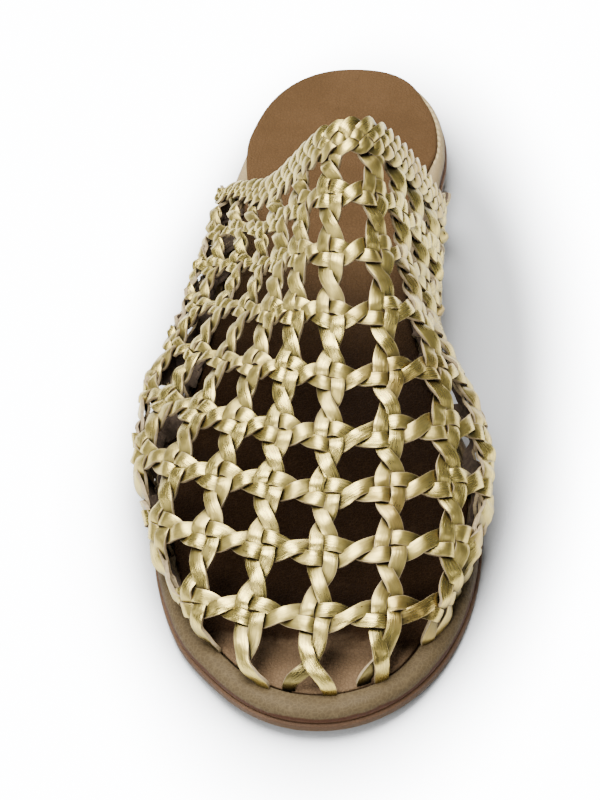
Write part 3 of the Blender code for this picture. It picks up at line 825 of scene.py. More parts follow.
def plait_strand(index, line, sizes, rng):
    """One strand of the flat plait, zigzagging between the band's edges, over one and under one."""
    along, points, normals, back, slim = line
    width = sizes.plait_width
    period = PLAIT_PACKING * width / math.sin(PLAIT_SLOPE) * PLAIT_STRANDS
    reach = period * math.tan(PLAIT_SLOPE) / 4.0
    at = np.arange(-TAIL, along[-1] + TAIL, PLAIT_STEP)
    phase = at / period + index / PLAIT_STRANDS
    zigzag = np.arcsin(PLAIT_SHARPNESS * np.sin(2.0 * math.pi * phase)) / math.asin(PLAIT_SHARPNESS)
    crossings = []
    for turn in range(math.floor(phase[0]) - 1, math.ceil(phase[-1]) + 2):
        crossings += [(turn - 0.125, 1.0), (turn, -1.0), (turn + 0.125, 1.0)]
        crossings += [(turn + 0.375, -1.0), (turn + 0.5, 1.0), (turn + 0.625, -1.0)]
    swing = weave_height(phase, crossings)
    height = swing * PLAIT_SWING + PLAIT_LIFT
    inside = np.clip(at, 0.0, along[-1])
    place = read_along(inside, along, points)
    place[:, 2] -= np.abs(at - inside)
    lean = unit(read_along(inside, along, normals))
    to_back = unit(read_along(inside, along, back))
    drift = PLAIT_WANDER * smooth_noise(rng, at) * sizes.wander
    slim = np.interp(inside, along, slim)
    sideways = reach * zigzag * PLAIT_FILL * slim + drift
    centres = place + to_back * sideways[:, None] + lean * height[:, None]
    widths = width * (0.35 + 0.65 * slim) * (1.0 + WIDTH_UNEVEN * smooth_noise(rng, at))
    rolls = PLAIT_ROLL * smooth_noise(rng, at, (6.0, 11.0, 19.0)) * sizes.wander
    return strip_mesh(centres, lean, widths, rolls, PLAIT_CAMBER, rng.uniform(0.0, 1.0), -swing)


# ---------------------------------------------------------------- sole bodies
def ring_places(inset, height):
    """Closed ring along the sole outline, outer side heel to toe and back along the inner side."""
    xo, so = edge_side(SIDE_COUNT, inset, 0)
    xi, si = edge_side(SIDE_COUNT, inset, 1)
    x = np.concatenate([xo, xi[1:-1][::-1]])
    s = np.concatenate([so, si[1:-1][::-1]])
    level = height(s) if callable(height) else height
    return np.stack([x - CENTRE_X, LENGTH / 2.0 - s, underside(s) + level], axis=1)


def station_of(y):
    return LENGTH / 2.0 - y


def ring_body(name, profile, rungs, top_height):
    """Sole layer: a circle laid on the outline, drawn up ring by ring, bridged across at both ends."""
    count = 2 * SIDE_COUNT - 2
    cap = len(profile) - 1
    deselect()
    bpy.ops.mesh.primitive_circle_add(vertices=count, radius=0.1, fill_type="NOTHING")
    ob = new_piece(name)
    set_places(ob, ring_places(*profile[0]))
    point_values(ob, "at", np.arange(count, dtype=np.int32), "INT")
    point_values(ob, "ring", np.zeros(count, np.int32), "INT")
    on_whole(ob, bpy.ops.mesh.select_mode, type="VERT")
    for number, (inset, height) in enumerate(profile[1:], start=1):
        edit_mode()
        bpy.ops.mesh.extrude_edges_move()
        object_mode()
        picked = number_ring(ob, number)
        places = read_places(ob) / MM
        places[picked] = ring_places(inset, height)[read_values(ob, "at")[picked]]
        set_places(ob, places)
    bridge_ring(ob, 0)
    bridge_ring(ob, cap)
    on_whole(ob, bpy.ops.mesh.fill_holes, sides=4)
    cut_rungs(ob, cap, rungs)
    shape_cap(ob, cap, top_height)
    on_whole(ob, bpy.ops.mesh.normals_make_consistent, inside=False)
    bpy.ops.object.shade_smooth_by_angle(angle=math.radians(40.0))
    places = read_places(ob) / MM
    point_values(ob, "level", places[:, 2] - underside(station_of(places[:, 1])))
    return ob


def number_ring(ob, number):
    """Write a ring's number on the picked points."""
    picked = read_picked(ob)
    ring = read_values(ob, "ring")
    ring[picked] = number
    point_values(ob, "ring", ring.astype(np.int32), "INT")
    return picked


def on_edges(ob, wanted, tool, **values):
    """Run a mesh tool on the edges that pass a test on the ring and the place of their two ends."""
    at = read_values(ob, "at")
    ring = read_values(ob, "ring")
    choose(ob)
    edit_mode()
    bpy.ops.mesh.select_mode(type="EDGE")
    bpy.ops.mesh.select_all(action="DESELECT")
    object_mode()
    for edge in ob.data.edges:
        a, b = edge.vertices
        if wanted(ring[a], at[a], ring[b], at[b]):
            edge.select = True
    edit_mode()
    tool(**values)
    object_mode()


def bridge_ring(ob, number):
    """Rungs from the outer to the inner side of a ring, so that its cap follows the arch."""
    last = SIDE_COUNT - 1

    def wanted(ring_a, at_a, ring_b, at_b):
        if ring_a != number or ring_b != number:
            return False
        return 0 < min(at_a, at_b) and (max(at_a, at_b) < last or min(at_a, at_b) > last)

    on_edges(ob, wanted, bpy.ops.mesh.bridge_edge_loops)


def cut_rungs(ob, number, cuts):
    """Divide the rungs of a cap, for its hollows."""
    last = SIDE_COUNT - 1

    def wanted(ring_a, at_a, ring_b, at_b):
        if ring_a != number or ring_b != number:
            return False
        return 0 < min(at_a, at_b) < last < max(at_a, at_b)

    on_edges(ob, wanted, bpy.ops.mesh.subdivide, number_cuts=cuts, smoothness=0.0)
    number_ring(ob, number)


def shape_cap(ob, number, top_height):
    """Set the heights of a cap's points: a function of x and station above the underside."""
    picked = read_values(ob, "ring") == number
    places = read_places(ob) / MM
    s = station_of(places[picked, 1])
    places[picked, 2] = underside(s) + top_height(places[picked, 0] + CENTRE_X, s)
    set_places(ob, places)


def heel_share(s):
    """1 round the heel seat, 0 where the weave goes down."""
    return 1.0 - ramp(s, 34.0, 62.0)


def rim_inner(s, side):
    """Inner edge of the rim, from the sole's; the footbed sits a little to the outer side at the heel."""
    sideways = np.where(side == 0, -0.5, 0.6) * ramp(s, 0.0, 14.0)
    return foot_inset(s) - 0.5 + sideways * heel_share(s)


def footbed_edge(s, side):
    """The footbed meets the rim at the heel and leaves the groove open under the weave."""
    return rim_inner(s, side) + 0.25 + 0.55 * (1.0 - heel_share(s))


def footbed_flange(s, side):
    """Round the back and the outer side of the heel the footbed laps over the rim."""
    lap = np.where(side == 0, 0.55, 0.55 + 2.4 * ramp(s, 1.0, 16.0))
    lap = np.minimum(lap, footbed_edge(s, side))
    return footbed_edge(s, side) + (lap - footbed_edge(s, side)) * heel_share(s)


def footbed_rise(s):
    """The footbed is padded at the heel and lies flush under the weave."""
    return 1.5 * (1.0 - ramp(s, 60.0, 130.0))


def footbed_top(x, s):
    """Dished under the heel and the ball."""
    out, inn = sole_edge(s)
    middle = (out + inn) / 2.0
    half = np.maximum((inn - out) / 2.0 - 4.0, 1.0)
    across = np.clip(np.abs(x - middle) / half, 0.0, 1.0)
    hollow = 0.9 * np.exp(-((s - 34.0) / 26.0) ** 2) + 0.8 * np.exp(-((s - 190.0) / 36.0) ** 2)
    return FOOTBED_TOP + footbed_rise(s) - hollow * (1.0 - across ** 2.5)


# ---------------------------------------------------------------- shader nodes; noise scales are per metre
def node(tree, kind, **values):
    made = tree.nodes.new(kind)
    for key, value in values.items():
        setattr(made, key, value)
    return made


def plug(tree, socket, value):
    """Link a socket to what another node puts out, or set its own number or colour."""
    if isinstance(value, bpy.types.NodeSocket):
        tree.links.new(value, socket)
    elif isinstance(value, (int, float)):
        socket.default_value = value
    else:
        socket.default_value = (*value, 1.0)


def plug_all(tree, sockets, values):
    for label, value in values.items():
        plug(tree, sockets[label], value)


def noise(tree, vector, scale, detail=3.0, rough=0.55, distortion=0.0):
    made = node(tree, "ShaderNodeTexNoise")
    plug_all(tree, made.inputs, {"Vector": vector, "Scale": scale, "Detail": detail, "Roughness": rough,
                                 "Distortion": distortion})
    return made.outputs["Fac"]


def remap(tree, value, low, high, to_low=0.0, to_high=1.0):
    """Ease from one number at low to another at high."""
    made = node(tree, "ShaderNodeMapRange", interpolation_type="SMOOTHSTEP")
    plug_all(tree, made.inputs, {"Value": value, "From Min": low, "From Max": high, "To Min": to_low,
                                 "To Max": to_high})
    return made.outputs["Result"]


def math_node(tree, operation, *values, clamp=False):
    made = node(tree, "ShaderNodeMath", operation=operation, use_clamp=clamp)
    for socket, value in zip(made.inputs, values):
        plug(tree, socket, value)
    return made.outputs[0]


def times(tree, first, second, clamp=False):
    return math_node(tree, "MULTIPLY", first, second, clamp=clamp)


def plus(tree, *values):
    total = values[0]
    for value in values[1:]:
        total = math_node(tree, "ADD", total, value)
    return total


def minus(tree, first, second):
    return math_node(tree, "SUBTRACT", first, second)


def part_of(tree, vector, axis):
    made = node(tree, "ShaderNodeSeparateXYZ")
    plug(tree, made.inputs[0], vector)
    return made.outputs[axis]


def attribute(tree, name):
    return node(tree, "ShaderNodeAttribute", attribute_name=name).outputs["Fac"]


def tinted(colour, factor):
    """A paler or darker version of a colour."""
    return tuple(min(1.0, factor * v) for v in colour)


def mix_colour(tree, factor, first, second):
    """From the first colour at 0 to the second at 1."""
    made = node(tree, "ShaderNodeMix", data_type="RGBA")
    for number, value in ((0, factor), (6, first), (7, second)):
        plug(tree, made.inputs[number], value)
    return made.outputs[2]


def stain_and_shade(tree, colour, mask, share, spot):
    """Lay the colour of a spot over a leather where a mask is, at most by a share; it lays stains and wear,
    and also painted shade.
    """
    return mix_colour(tree, times(tree, mask, share), colour, spot)


# ---------------------------------------------------------------- shader groups
def group_tree(name, inputs, outputs):
    """Empty group whose sockets carry numbers; an input without a default takes a vector."""
    tree = bpy.data.node_groups.new(name, "ShaderNodeTree")
    for label, value in inputs.items():
        kind = "NodeSocketVector" if value is None else "NodeSocketFloat"
        socket = tree.interface.new_socket(name=label, in_out="INPUT", socket_type=kind)
        if value is not None:
            socket.default_value = value
    for label in outputs:
        tree.interface.new_socket(name=label, in_out="OUTPUT", socket_type="NodeSocketFloat")
    return tree, node(tree, "NodeGroupInput").outputs, node(tree, "NodeGroupOutput").inputs


def scaled_vector(tree, inn):
    size = node(tree, "ShaderNodeVectorMath", operation="SCALE")
    plug(tree, size.inputs[0], inn["Vector"])
    plug(tree, size.inputs["Scale"], inn["Scale"])
    return size.outputs["Vector"]


def leather_grain_group():
    """Pores and fine wrinkles: a height, and a mask of the pores."""
    tree, inn, out = group_tree("leather_grain", {"Vector": None, "Scale": 1.0}, ("Height", "Pores"))
    vector = scaled_vector(tree, inn)
    cells = node(tree, "ShaderNodeTexVoronoi", feature="DISTANCE_TO_EDGE")
    plug_all(tree, cells.inputs, {"Vector": vector, "Scale": 900.0})
    cracks = remap(tree, cells.outputs["Distance"], 0.0, 0.16)
    fine = times(tree, noise(tree, vector, 1500.0), 0.35)
    broad = times(tree, noise(tree, vector, 260.0), 0.6)
    height = plus(tree, times(tree, cracks, 0.5), fine, broad)
    plug_all(tree, out, {"Height": height, "Pores": minus(tree, 1.0, cracks)})


def mottle_group():
    """Cloudy patches of wear, 0 to 1, with sharper flecks."""
    tree, inn, out = group_tree("mottle", {"Vector": None, "Scale": 40.0}, ("Patches", "Flecks"))
    vector = scaled_vector(tree, inn)
    patches = remap(tree, noise(tree, vector, 1.0, 5.0, 0.6, 0.4), 0.35, 0.68)
    flecks = remap(tree, noise(tree, vector, 7.0, 6.0, 0.7), 0.58, 0.72)
    plug_all(tree, out, {"Patches": patches, "Flecks": flecks})


def fibres_group():
    """The nap of cut or split leather: a height, and a mask of the fibres of the other tone."""
    tree, inn, out = group_tree(
        "fibres", {"Vector": None, "Scale": 600.0, "Detail": 4.0, "Roughness": 0.7, "Low": 0.3},
        ("Height", "Fibres"))
    nap = noise(tree, inn["Vector"], inn["Scale"], inn["Detail"], inn["Roughness"])
    plug_all(tree, out, {"Height": nap, "Fibres": remap(tree, nap, inn["Low"], 0.7)})


def shut_in_group():
    """How far a spot is shut in by what stands round it, 0 to 1."""
    tree, inn, out = group_tree("shut_in", {"Distance": 0.004, "Low": 0.2, "High": 0.9}, ("Mask",))
    sight = node(tree, "ShaderNodeAmbientOcclusion", samples=6)
    plug(tree, sight.inputs["Distance"], inn["Distance"])
    plug(tree, out["Mask"], minus(tree, 1.0, remap(tree, sight.outputs["AO"], inn["Low"], inn["High"])))


def stained_foot_group():
    """Where a sole layer is clean above its stained foot, with a ragged end, and the dark seam there."""
    tree, inn, out = group_tree("stained_foot", {"Vector": None, "Level": 0.0, "Height": 2.0},
                                ("Clean", "Seam"))
    ragged = times(tree, noise(tree, inn["Vector"], 110.0, 5.0, 0.7), 2.2)
    above = plus(tree, minus(tree, inn["Level"], inn["Height"]), ragged)
    off = math_node(tree, "ABSOLUTE", minus(tree, above, 0.8))
    plug_all(tree, out, {"Clean": remap(tree, above, 0.70, 1.50),
                         "Seam": remap(tree, off, 0.15, 0.75, 0.85, 0.0)})


SHADER_GROUPS = (leather_grain_group, mottle_group, fibres_group, shut_in_group, stained_foot_group)


def use_group(tree, name, **values):
    made = node(tree, "ShaderNodeGroup")
    made.node_tree = bpy.data.node_groups[name]
    plug_all(tree, made.inputs, values)
    return made.outputs


def shut_in(tree, distance, low, high):
    return use_group(tree, "shut_in", Distance=distance * MM, Low=low, High=high)["Mask"]


# ---------------------------------------------------------------- leathers
def start_material(name):
    """Material with its tree, the shader's sockets, and the place on the piece."""
    mat = bpy.data.materials.new(name)
    mat.use_nodes = True
    tree = mat.node_tree
    place = node(tree, "ShaderNodeTexCoord").outputs["Object"]
    return mat, tree, tree.nodes["Principled BSDF"].inputs, place


def add_bump(tree, skin, height, distance):
    bump = node(tree, "ShaderNodeBump")
    plug_all(tree, bump.inputs, {"Distance": distance * MM, "Height": height})
    plug(tree, skin["Normal"], bump.outputs["Normal"])


def gold_leather(colours):
    """Foil-covered leather: gold that darkens in patches and streaks and rubs off at the edges, with
    painted shade where strips dip under others and in the crevices between them, and a warm patina on the
    inner side that is partly painted shade.
    """
    _, tree, skin, place = start_material("gold_foil_leather")
    uv = node(tree, "ShaderNodeUVMap").outputs["UV"]
    old_and_dip_shade = colours.old_gold_and_dip_shade
    grain = use_group(tree, "leather_grain", Vector=place, Scale=1.0)
    mottle = use_group(tree, "mottle", Vector=place, Scale=60.0)
    edge = remap(tree, math_node(tree, "ABSOLUTE", part_of(tree, uv, "X")), 0.90, 1.0)
    worn = times(tree, edge, plus(tree, mottle["Patches"], 0.2), clamp=True)
    lengthways = node(tree, "ShaderNodeMapping")
    lengthways.inputs["Scale"].default_value = (3.2, 1.3, 1.0)
    plug(tree, lengthways.inputs["Vector"], uv)
    streaks = remap(tree, noise(tree, lengthways.outputs["Vector"], 1.6, 4.0, 0.55, 0.6), 0.40, 0.70)
    dull = plus(tree, times(tree, attribute(tree, "tone"), 0.35), 0.1)
    warm = remap(tree, noise(tree, place, 55.0, 3.0, 0.5, 0.5), 0.42, 0.72)
    # warm patina, laid more on the inner side; partly painted shade on that side, which lies away from the
    # light
    inner_side_stain_and_shade = remap(tree, part_of(tree, place, "X"), 0.002, 0.028, 0.08, 0.60)
    dip_shade = remap(tree, attribute(tree, "dip"), -0.6, 0.9)
    colour = mix_colour(tree, times(tree, mottle["Patches"], dull, clamp=True), colours.gold, old_and_dip_shade)
    colour = mix_colour(tree, times(tree, warm, inner_side_stain_and_shade), colour, colours.patina_and_side_shade)
    colour = stain_and_shade(tree, colour, streaks, 0.30, old_and_dip_shade)
    colour = stain_and_shade(tree, colour, mottle["Flecks"], 0.12, tinted(old_and_dip_shade, 0.6))
    # painted shade: the strip darkens where it dips under a crossing strip
    colour = stain_and_shade(tree, colour, dip_shade, 0.78, tinted(old_and_dip_shade, 0.4))
    colour = mix_colour(tree, worn, colour, colours.raw_edge)
    # painted shade: nearly black in the crevices and contacts where strips shut each other in
    colour = stain_and_shade(tree, colour, shut_in(tree, 4.0, 0.30, 0.96), 0.95, (0.022, 0.015, 0.006))
    rough = plus(tree, remap(tree, mottle["Patches"], 0.0, 1.0, 0.24, 0.34), times(tree, streaks, 0.10))
    plug_all(tree, skin, {"Base Color": colour, "Roughness": rough,
                          "Metallic": remap(tree, worn, 0.0, 1.0, 0.92, 0.1)})
    wrinkle = noise(tree, place, 300.0, 2.0, 0.45, 0.5)
    height = plus(tree, times(tree, grain["Height"], 0.06), times(tree, wrinkle, 0.75),
                  times(tree, streaks, -0.25))
    add_bump(tree, skin, height, 0.085)


def raw_edge_leather(colours):
    """Cut edge of a strip, with painted shade where other strips shut it in."""
    _, tree, skin, place = start_material("raw_cut_edge")
    nap = use_group(tree, "fibres", Vector=place, Scale=700.0, Detail=4.0, Roughness=0.7, Low=0.35)
    colour = mix_colour(tree, nap["Fibres"], colours.raw_edge, tinted(colours.raw_edge, 0.62))
    # painted shade: the edge darkens towards black where other strips shut it in
    colour = mix_colour(tree, shut_in(tree, 3.0, 0.2, 0.8), colour, (0.03, 0.02, 0.01))
    plug_all(tree, skin, {"Base Color": colour, "Roughness": 0.85, "Specular IOR Level": 0.15})
    add_bump(tree, skin, nap["Height"], 0.15)


def flesh_leather(colours):
    """Suede back of a strip."""
    _, tree, skin, place = start_material("flesh_side")
    nap = use_group(tree, "fibres", Vector=place, Scale=520.0, Detail=5.0, Roughness=0.75, Low=0.3)
    colour = mix_colour(tree, nap["Fibres"], colours.flesh, tinted(colours.flesh, 1.9))
    plug_all(tree, skin, {"Base Color": colour, "Roughness": 0.92, "Specular IOR Level": 0.1})
    add_bump(tree, skin, nap["Height"], 0.3)


def matte_leather(name, colour, lighter, rough, scale, bump, zones=(), painted_shade_depth=0.0, band=None,
                  shine=0.12):
    """Plain leather with pores, cloudy wear and a few flecks.

    lighter is how much paler its worn patches are.
    A zone is (from, to, colour): between those lengths, in metres, the colour eases in towards the toe.
    The depth in mm given after the zones is how far painted shade darkens the leather where other pieces
    shut it in.
    A band (height in mm, colour, seam colour) is the stained foot of a sole layer, with a dark seam.
    """
    mat, tree, skin, place = start_material(name)
    grain = use_group(tree, "leather_grain", Vector=place, Scale=scale)
    mottle = use_group(tree, "mottle", Vector=place, Scale=38.0)
    shade = stain_and_shade(tree, colour, mottle["Patches"], 0.5, tinted(colour, lighter))
    if painted_shade_depth:
        # painted shade where other pieces shut the leather in
        shade = mix_colour(tree, shut_in(tree, painted_shade_depth, 0.20, 0.92), shade, tinted(colour, 0.08))
    towards_toe = minus(tree, times(tree, mottle["Patches"], 0.005), part_of(tree, place, "Y"))
    # each zone's colour eases in towards the toe; the rim's zone is its own darker toe colour, the
    # footbed's zones are painted shade under the weave and painted light at its toe end
    for start, end, zone in zones:
        shade = mix_colour(tree, remap(tree, towards_toe, start, end), shade, zone)
    shade = stain_and_shade(tree, shade, mottle["Flecks"], 0.35, tinted(colour, 0.55))
    shade = stain_and_shade(tree, shade, grain["Pores"], 0.25, tinted(colour, 0.6))
    if band:
        height, foot, seam = band
        layer = use_group(tree, "stained_foot", Vector=place, Level=attribute(tree, "level"), Height=height)
        shade = mix_colour(tree, layer["Clean"], foot, shade)
        shade = mix_colour(tree, layer["Seam"], shade, seam)
    plug_all(tree, skin, {"Base Color": shade, "Specular IOR Level": shine,
                          "Roughness": remap(tree, mottle["Patches"], 0.0, 1.0, rough, rough - 0.12)})
    add_bump(tree, skin, grain["Height"], bump)
    return mat


# ---------------------------------------------------------------- operators
def finish_piece(ob, replaced):
    """Hang a piece under the body and hide the solids that it stands for."""
    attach(ob, BODY)
    if replaced:
        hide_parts(*replaced)


class MULE_OT_prepare_finishes(bpy.types.Operator):
    """Build the shader groups and the leathers of the strips"""
    bl_idname = "mule.prepare_finishes"
    bl_label = "Prepare finishes"

    def execute(self, context):
        colours = context.scene.mule_colours
        for make_group in SHADER_GROUPS:
            make_group()
        for make_leather in (gold_leather, flesh_leather, raw_edge_leather):
            make_leather(colours)
        return {"FINISHED"}


class MULE_OT_cut_outsole(bpy.types.Operator):
    """Cut the thin outsole with its softened, burnished edge"""
    bl_idname = "mule.cut_outsole"
    bl_label = "Cut outsole"

    def execute(self, context):
        colours = context.scene.mule_colours
        profile = [(1.3, 0.0), (0.5, 0.12), (0.12, 0.5), (0.0, 1.1), (0.0, 2.0), (0.1, 2.6),
                   (0.6, OUTSOLE_THICK), (2.0, OUTSOLE_THICK)]
        ob = ring_body("outsole_leather", profile, 7, lambda x, s: np.full_like(x, OUTSOLE_THICK))
        band = (1.75, (0.125, 0.078, 0.042), (0.100, 0.060, 0.032))
        leather = matte_leather("burnished_sole", colours.sole_edge, 1.7, 0.55, 1.0, 0.12, band=band)
        ob.data.materials.append(leather)
        finish_piece(ob, ["outsole"])
        return {"FINISHED"}


class MULE_OT_shape_rim(bpy.types.Operator):
    """Shape the natural leather rim that frames the footbed and holds the groove of the weave"""
    bl_idname = "mule.shape_rim"
    bl_label = "Shape rim"

    def execute(self, context):
        colours = context.scene.mule_colours
        low = OUTSOLE_THICK + LAYER_GAP
        profile = [(1.3, low), (0.85, low + 0.06), (0.67, low + 0.35), (RIM_SET_BACK, low + 1.0)]
        for angle in (15.0, 30.0, 45.0, 60.0, 75.0, 90.0):
            turn = math.radians(angle)

            def inset(s, side, turn=turn):
                radius = np.minimum(RIM_RADIUS, 0.6 * (rim_inner(s, side) - RIM_SET_BACK))
                return RIM_SET_BACK + radius * (1.0 - math.cos(turn))

            profile.append((inset, low + 1.0 + (RIM_TOP - low - 1.0) * math.sin(turn)))
        profile += [(lambda s, side: rim_inner(s, side) - 0.5, RIM_TOP),
                    (lambda s, side: rim_inner(s, side) - 0.1, RIM_TOP - 0.25),
                    (rim_inner, RIM_TOP - 0.8), (rim_inner, CHANNEL_FLOOR)]
        ob = ring_body("rim_leather", profile, 5, lambda x, s: np.full_like(x, CHANNEL_FLOOR))
        zones = ((-0.09, -0.02, colours.rim),)
        band = (5.0, (0.085, 0.038, 0.018), (0.052, 0.018, 0.007))
        leather = matte_leather("natural_rim", PALE_RIM, 1.0, 0.62, 0.9, 0.1, zones, band=band)
        ob.data.materials.append(leather)
        finish_piece(ob, ["midsole"])
        return {"FINISHED"}


class MULE_OT_lay_footbed(bpy.types.Operator):
    """Lay the padded footbed inside the rim, dished under heel and ball"""
    bl_idname = "mule.lay_footbed"
    bl_label = "Lay footbed"

    def execute(self, context):
        colours = context.scene.mule_colours
        low = CHANNEL_FLOOR + LAYER_GAP

        profile = [(lambda s, side: footbed_edge(s, side) + 0.4, low), (footbed_edge, low + 0.4),
                   (footbed_edge, lambda s: FOOTBED_FOOT - 0.9 * (1.0 - heel_share(s))),
                   (footbed_flange, lambda s: FOOTBED_FOOT + 0.05 - 0.75 * (1.0 - heel_share(s)))]
        for inset, drop in ((0.05, 0.62), (0.35, 0.28), (0.95, 0.07), (1.9, 0.0)):
            profile.append((lambda s, side, inset=inset: footbed_flange(s, side) + inset,
                            lambda s, drop=drop: FOOTBED_TOP + footbed_rise(s) - drop))
        ob = ring_body("footbed_leather", profile, 16, footbed_top)
        # painted shade on the footbed under the weave, then painted light on its toe end where the light
        # reaches in; 40.0 is the depth of painted shade where the weave shuts it in
        zones = ((-0.045, 0.01, (0.014, 0.0056, 0.0014)), (0.104, 0.111, (0.150, 0.095, 0.051)))
        leather = matte_leather("footbed_lining", colours.footbed, 1.35, 0.74, 1.1, 0.20, zones, 40.0,
                                shine=0.05)
        ob.data.materials.append(leather)
        finish_piece(ob, ["insole"])
        return {"FINISHED"}


class MULE_OT_stack_heel(bpy.types.Operator):
    """Stack the low heel lift under the seat"""
    bl_idname = "mule.stack_heel"
    bl_label = "Stack heel"

    def execute(self, context):
        colours = context.scene.mule_colours
        ob = own_copy(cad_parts["heel"])
        ob.name = "heel_lift"
        ob.parent = None
        for key in list(ob.keys()):
            del ob[key]
        on_whole(ob, bpy.ops.mesh.remove_doubles, threshold=0.02 * MM)
        on_whole(ob, bpy.ops.mesh.tris_convert_to_quads, face_threshold=0.7, shape_threshold=0.7)
        ob.data.materials.clear()
        apply_modifier(ob, "BEVEL", width=0.35 * MM, segments=3, limit_method="ANGLE",
                       angle_limit=math.radians(40.0))
        choose(ob)
        bpy.ops.object.shade_smooth_by_angle(angle=math.radians(35.0))
        ob.data.materials.append(matte_leather("stacked_lift", colours.heel, 1.2, 0.66, 1.0, 0.1))
        finish_piece(ob, ["heel"])
        return {"FINISHED"}


class MULE_OT_weave_lengthwise(bpy.types.Operator):
    """Weave the strips that run from the toe to the top line, in crossing pairs"""
    bl_idname = "mule.weave_lengthwise"
    bl_label = "Weave lengthwise strips"

    def execute(self, context):
        sizes = context.scene.mule_weave
        rng = np.random.default_rng(sizes.seed)
        strips = [column_strip(k, hand, sizes, rng)
                  for k in range(FIRST_COLUMN, LAST_COLUMN + 1) for hand in (-1.0, 1.0)]
        ob = join_as("vamp_strips_lengthwise", [strip for strip in strips if strip])
        thicken(ob, sizes.strip_thick)
        finish_piece(ob, ["upper"])
        return {"FINISHED"}


class MULE_OT_weave_crosswise(bpy.types.Operator):
    """Weave the strips that run over the instep from one side of the sole to the other"""
    bl_idname = "mule.weave_crosswise"
    bl_label = "Weave crosswise strips"

    def execute(self, context):
        sizes = context.scene.mule_weave
        rng = np.random.default_rng(sizes.seed + 1)
        strips = [row_strip(j, hand, sizes, rng)
                  for j in range(1, WEAVE_ROWS + 1) for hand in (-1.0, 1.0)]
        ob = join_as("vamp_strips_crosswise", strips)
        thicken(ob, sizes.strip_thick)
        finish_piece(ob, ["upper"])
        return {"FINISHED"}


class MULE_OT_plait_topline(bpy.types.Operator):
    """Plait the flat band along the top line"""
    bl_idname = "mule.plait_topline"
    bl_label = "Plait top line"

    def execute(self, context):
        sizes = context.scene.mule_weave
        rng = np.random.default_rng(sizes.seed + 2)
        line = plait_line()
        strips = [plait_strand(i, line, sizes, rng) for i in range(PLAIT_STRANDS)]
        ob = join_as("topline_plait", strips)
        thicken(ob, sizes.strip_thick * PLAIT_THINNER)
        finish_piece(ob, ["collar_braid"])
        return {"FINISHED"}


def shape_stitch():
    """One stitch: a bead of thread, pulled down and narrowed at both ends."""
    deselect()
    bpy.ops.mesh.primitive_uv_sphere_add(segments=12, ring_count=8, radius=1.0)
    ob = bpy.context.object
    on_whole(ob, bpy.ops.transform.resize, value=(1.25 * MM, 0.80 * MM, 0.60 * MM))
    for vert in ob.data.vertices:
        vert.select = abs(vert.co.x) > 0.8 * MM
    edit_mode()
    bpy.ops.mesh.select_mode(type="VERT")
    bpy.ops.transform.resize(value=(1.0, 0.70, 0.70))
    bpy.ops.transform.translate(value=(0.0, 0.0, -0.15 * MM))
    object_mode()
    return ob


class MULE_OT_sew_heel_seat(bpy.types.Operator):
    """Sew the footbed to the rim round the heel"""
    bl_idname = "mule.sew_heel_seat"
    bl_label = "Sew heel seat"

    def execute(self, context):
        colours = context.scene.mule_colours
        x, s = edge_side(300, lambda s, side: footbed_flange(s, side) - 0.5, 1)
        keep = (s > STITCHED[0]) & (s < STITCHED[1])
        line = np.stack([x[keep] - CENTRE_X, LENGTH / 2.0 - s[keep]], axis=1)
        along = length_along(line)
        model = shape_stitch()
        stitches = []
        for at in np.arange(2.0, along[-1] - 2.0, STITCH_PITCH):
            start, end = read_along(np.array([at - 0.5, at + 0.5]), along, line)
            middle = (start + end) / 2.0
            turn = math.atan2(*(end - start)[::-1]) + STITCH_TURN
            height = float(underside(station_of(middle[1]))) + RIM_TOP + 0.02
            ob = own_copy(model)
            ob.data.transform(Matrix.Rotation(turn, 4, "Z"))
            ob.data.transform(Matrix.Translation(Vector((*middle, height)) * MM))
            stitches.append(ob)
        bpy.data.objects.remove(model)
        ob = join_as("heel_seat_stitches", stitches)
        bpy.ops.object.shade_smooth()
        ob.data.materials.append(matte_leather("waxed_thread", colours.thread, 1.0, 0.7, 2.0, 0.06))
        finish_piece(ob, [])
        return {"FINISHED"}


class MULE_OT_set_stage(bpy.types.Operator):
    """Set the pale floor, the soft studio light and the camera"""
    bl_idname = "mule.set_stage"
    bl_label = "Set stage"

    def execute(self, context):
        stage = context.scene.mule_stage
        lay_floor()
        hang_lights(stage)
        set_camera(stage)
        return {"FINISHED"}


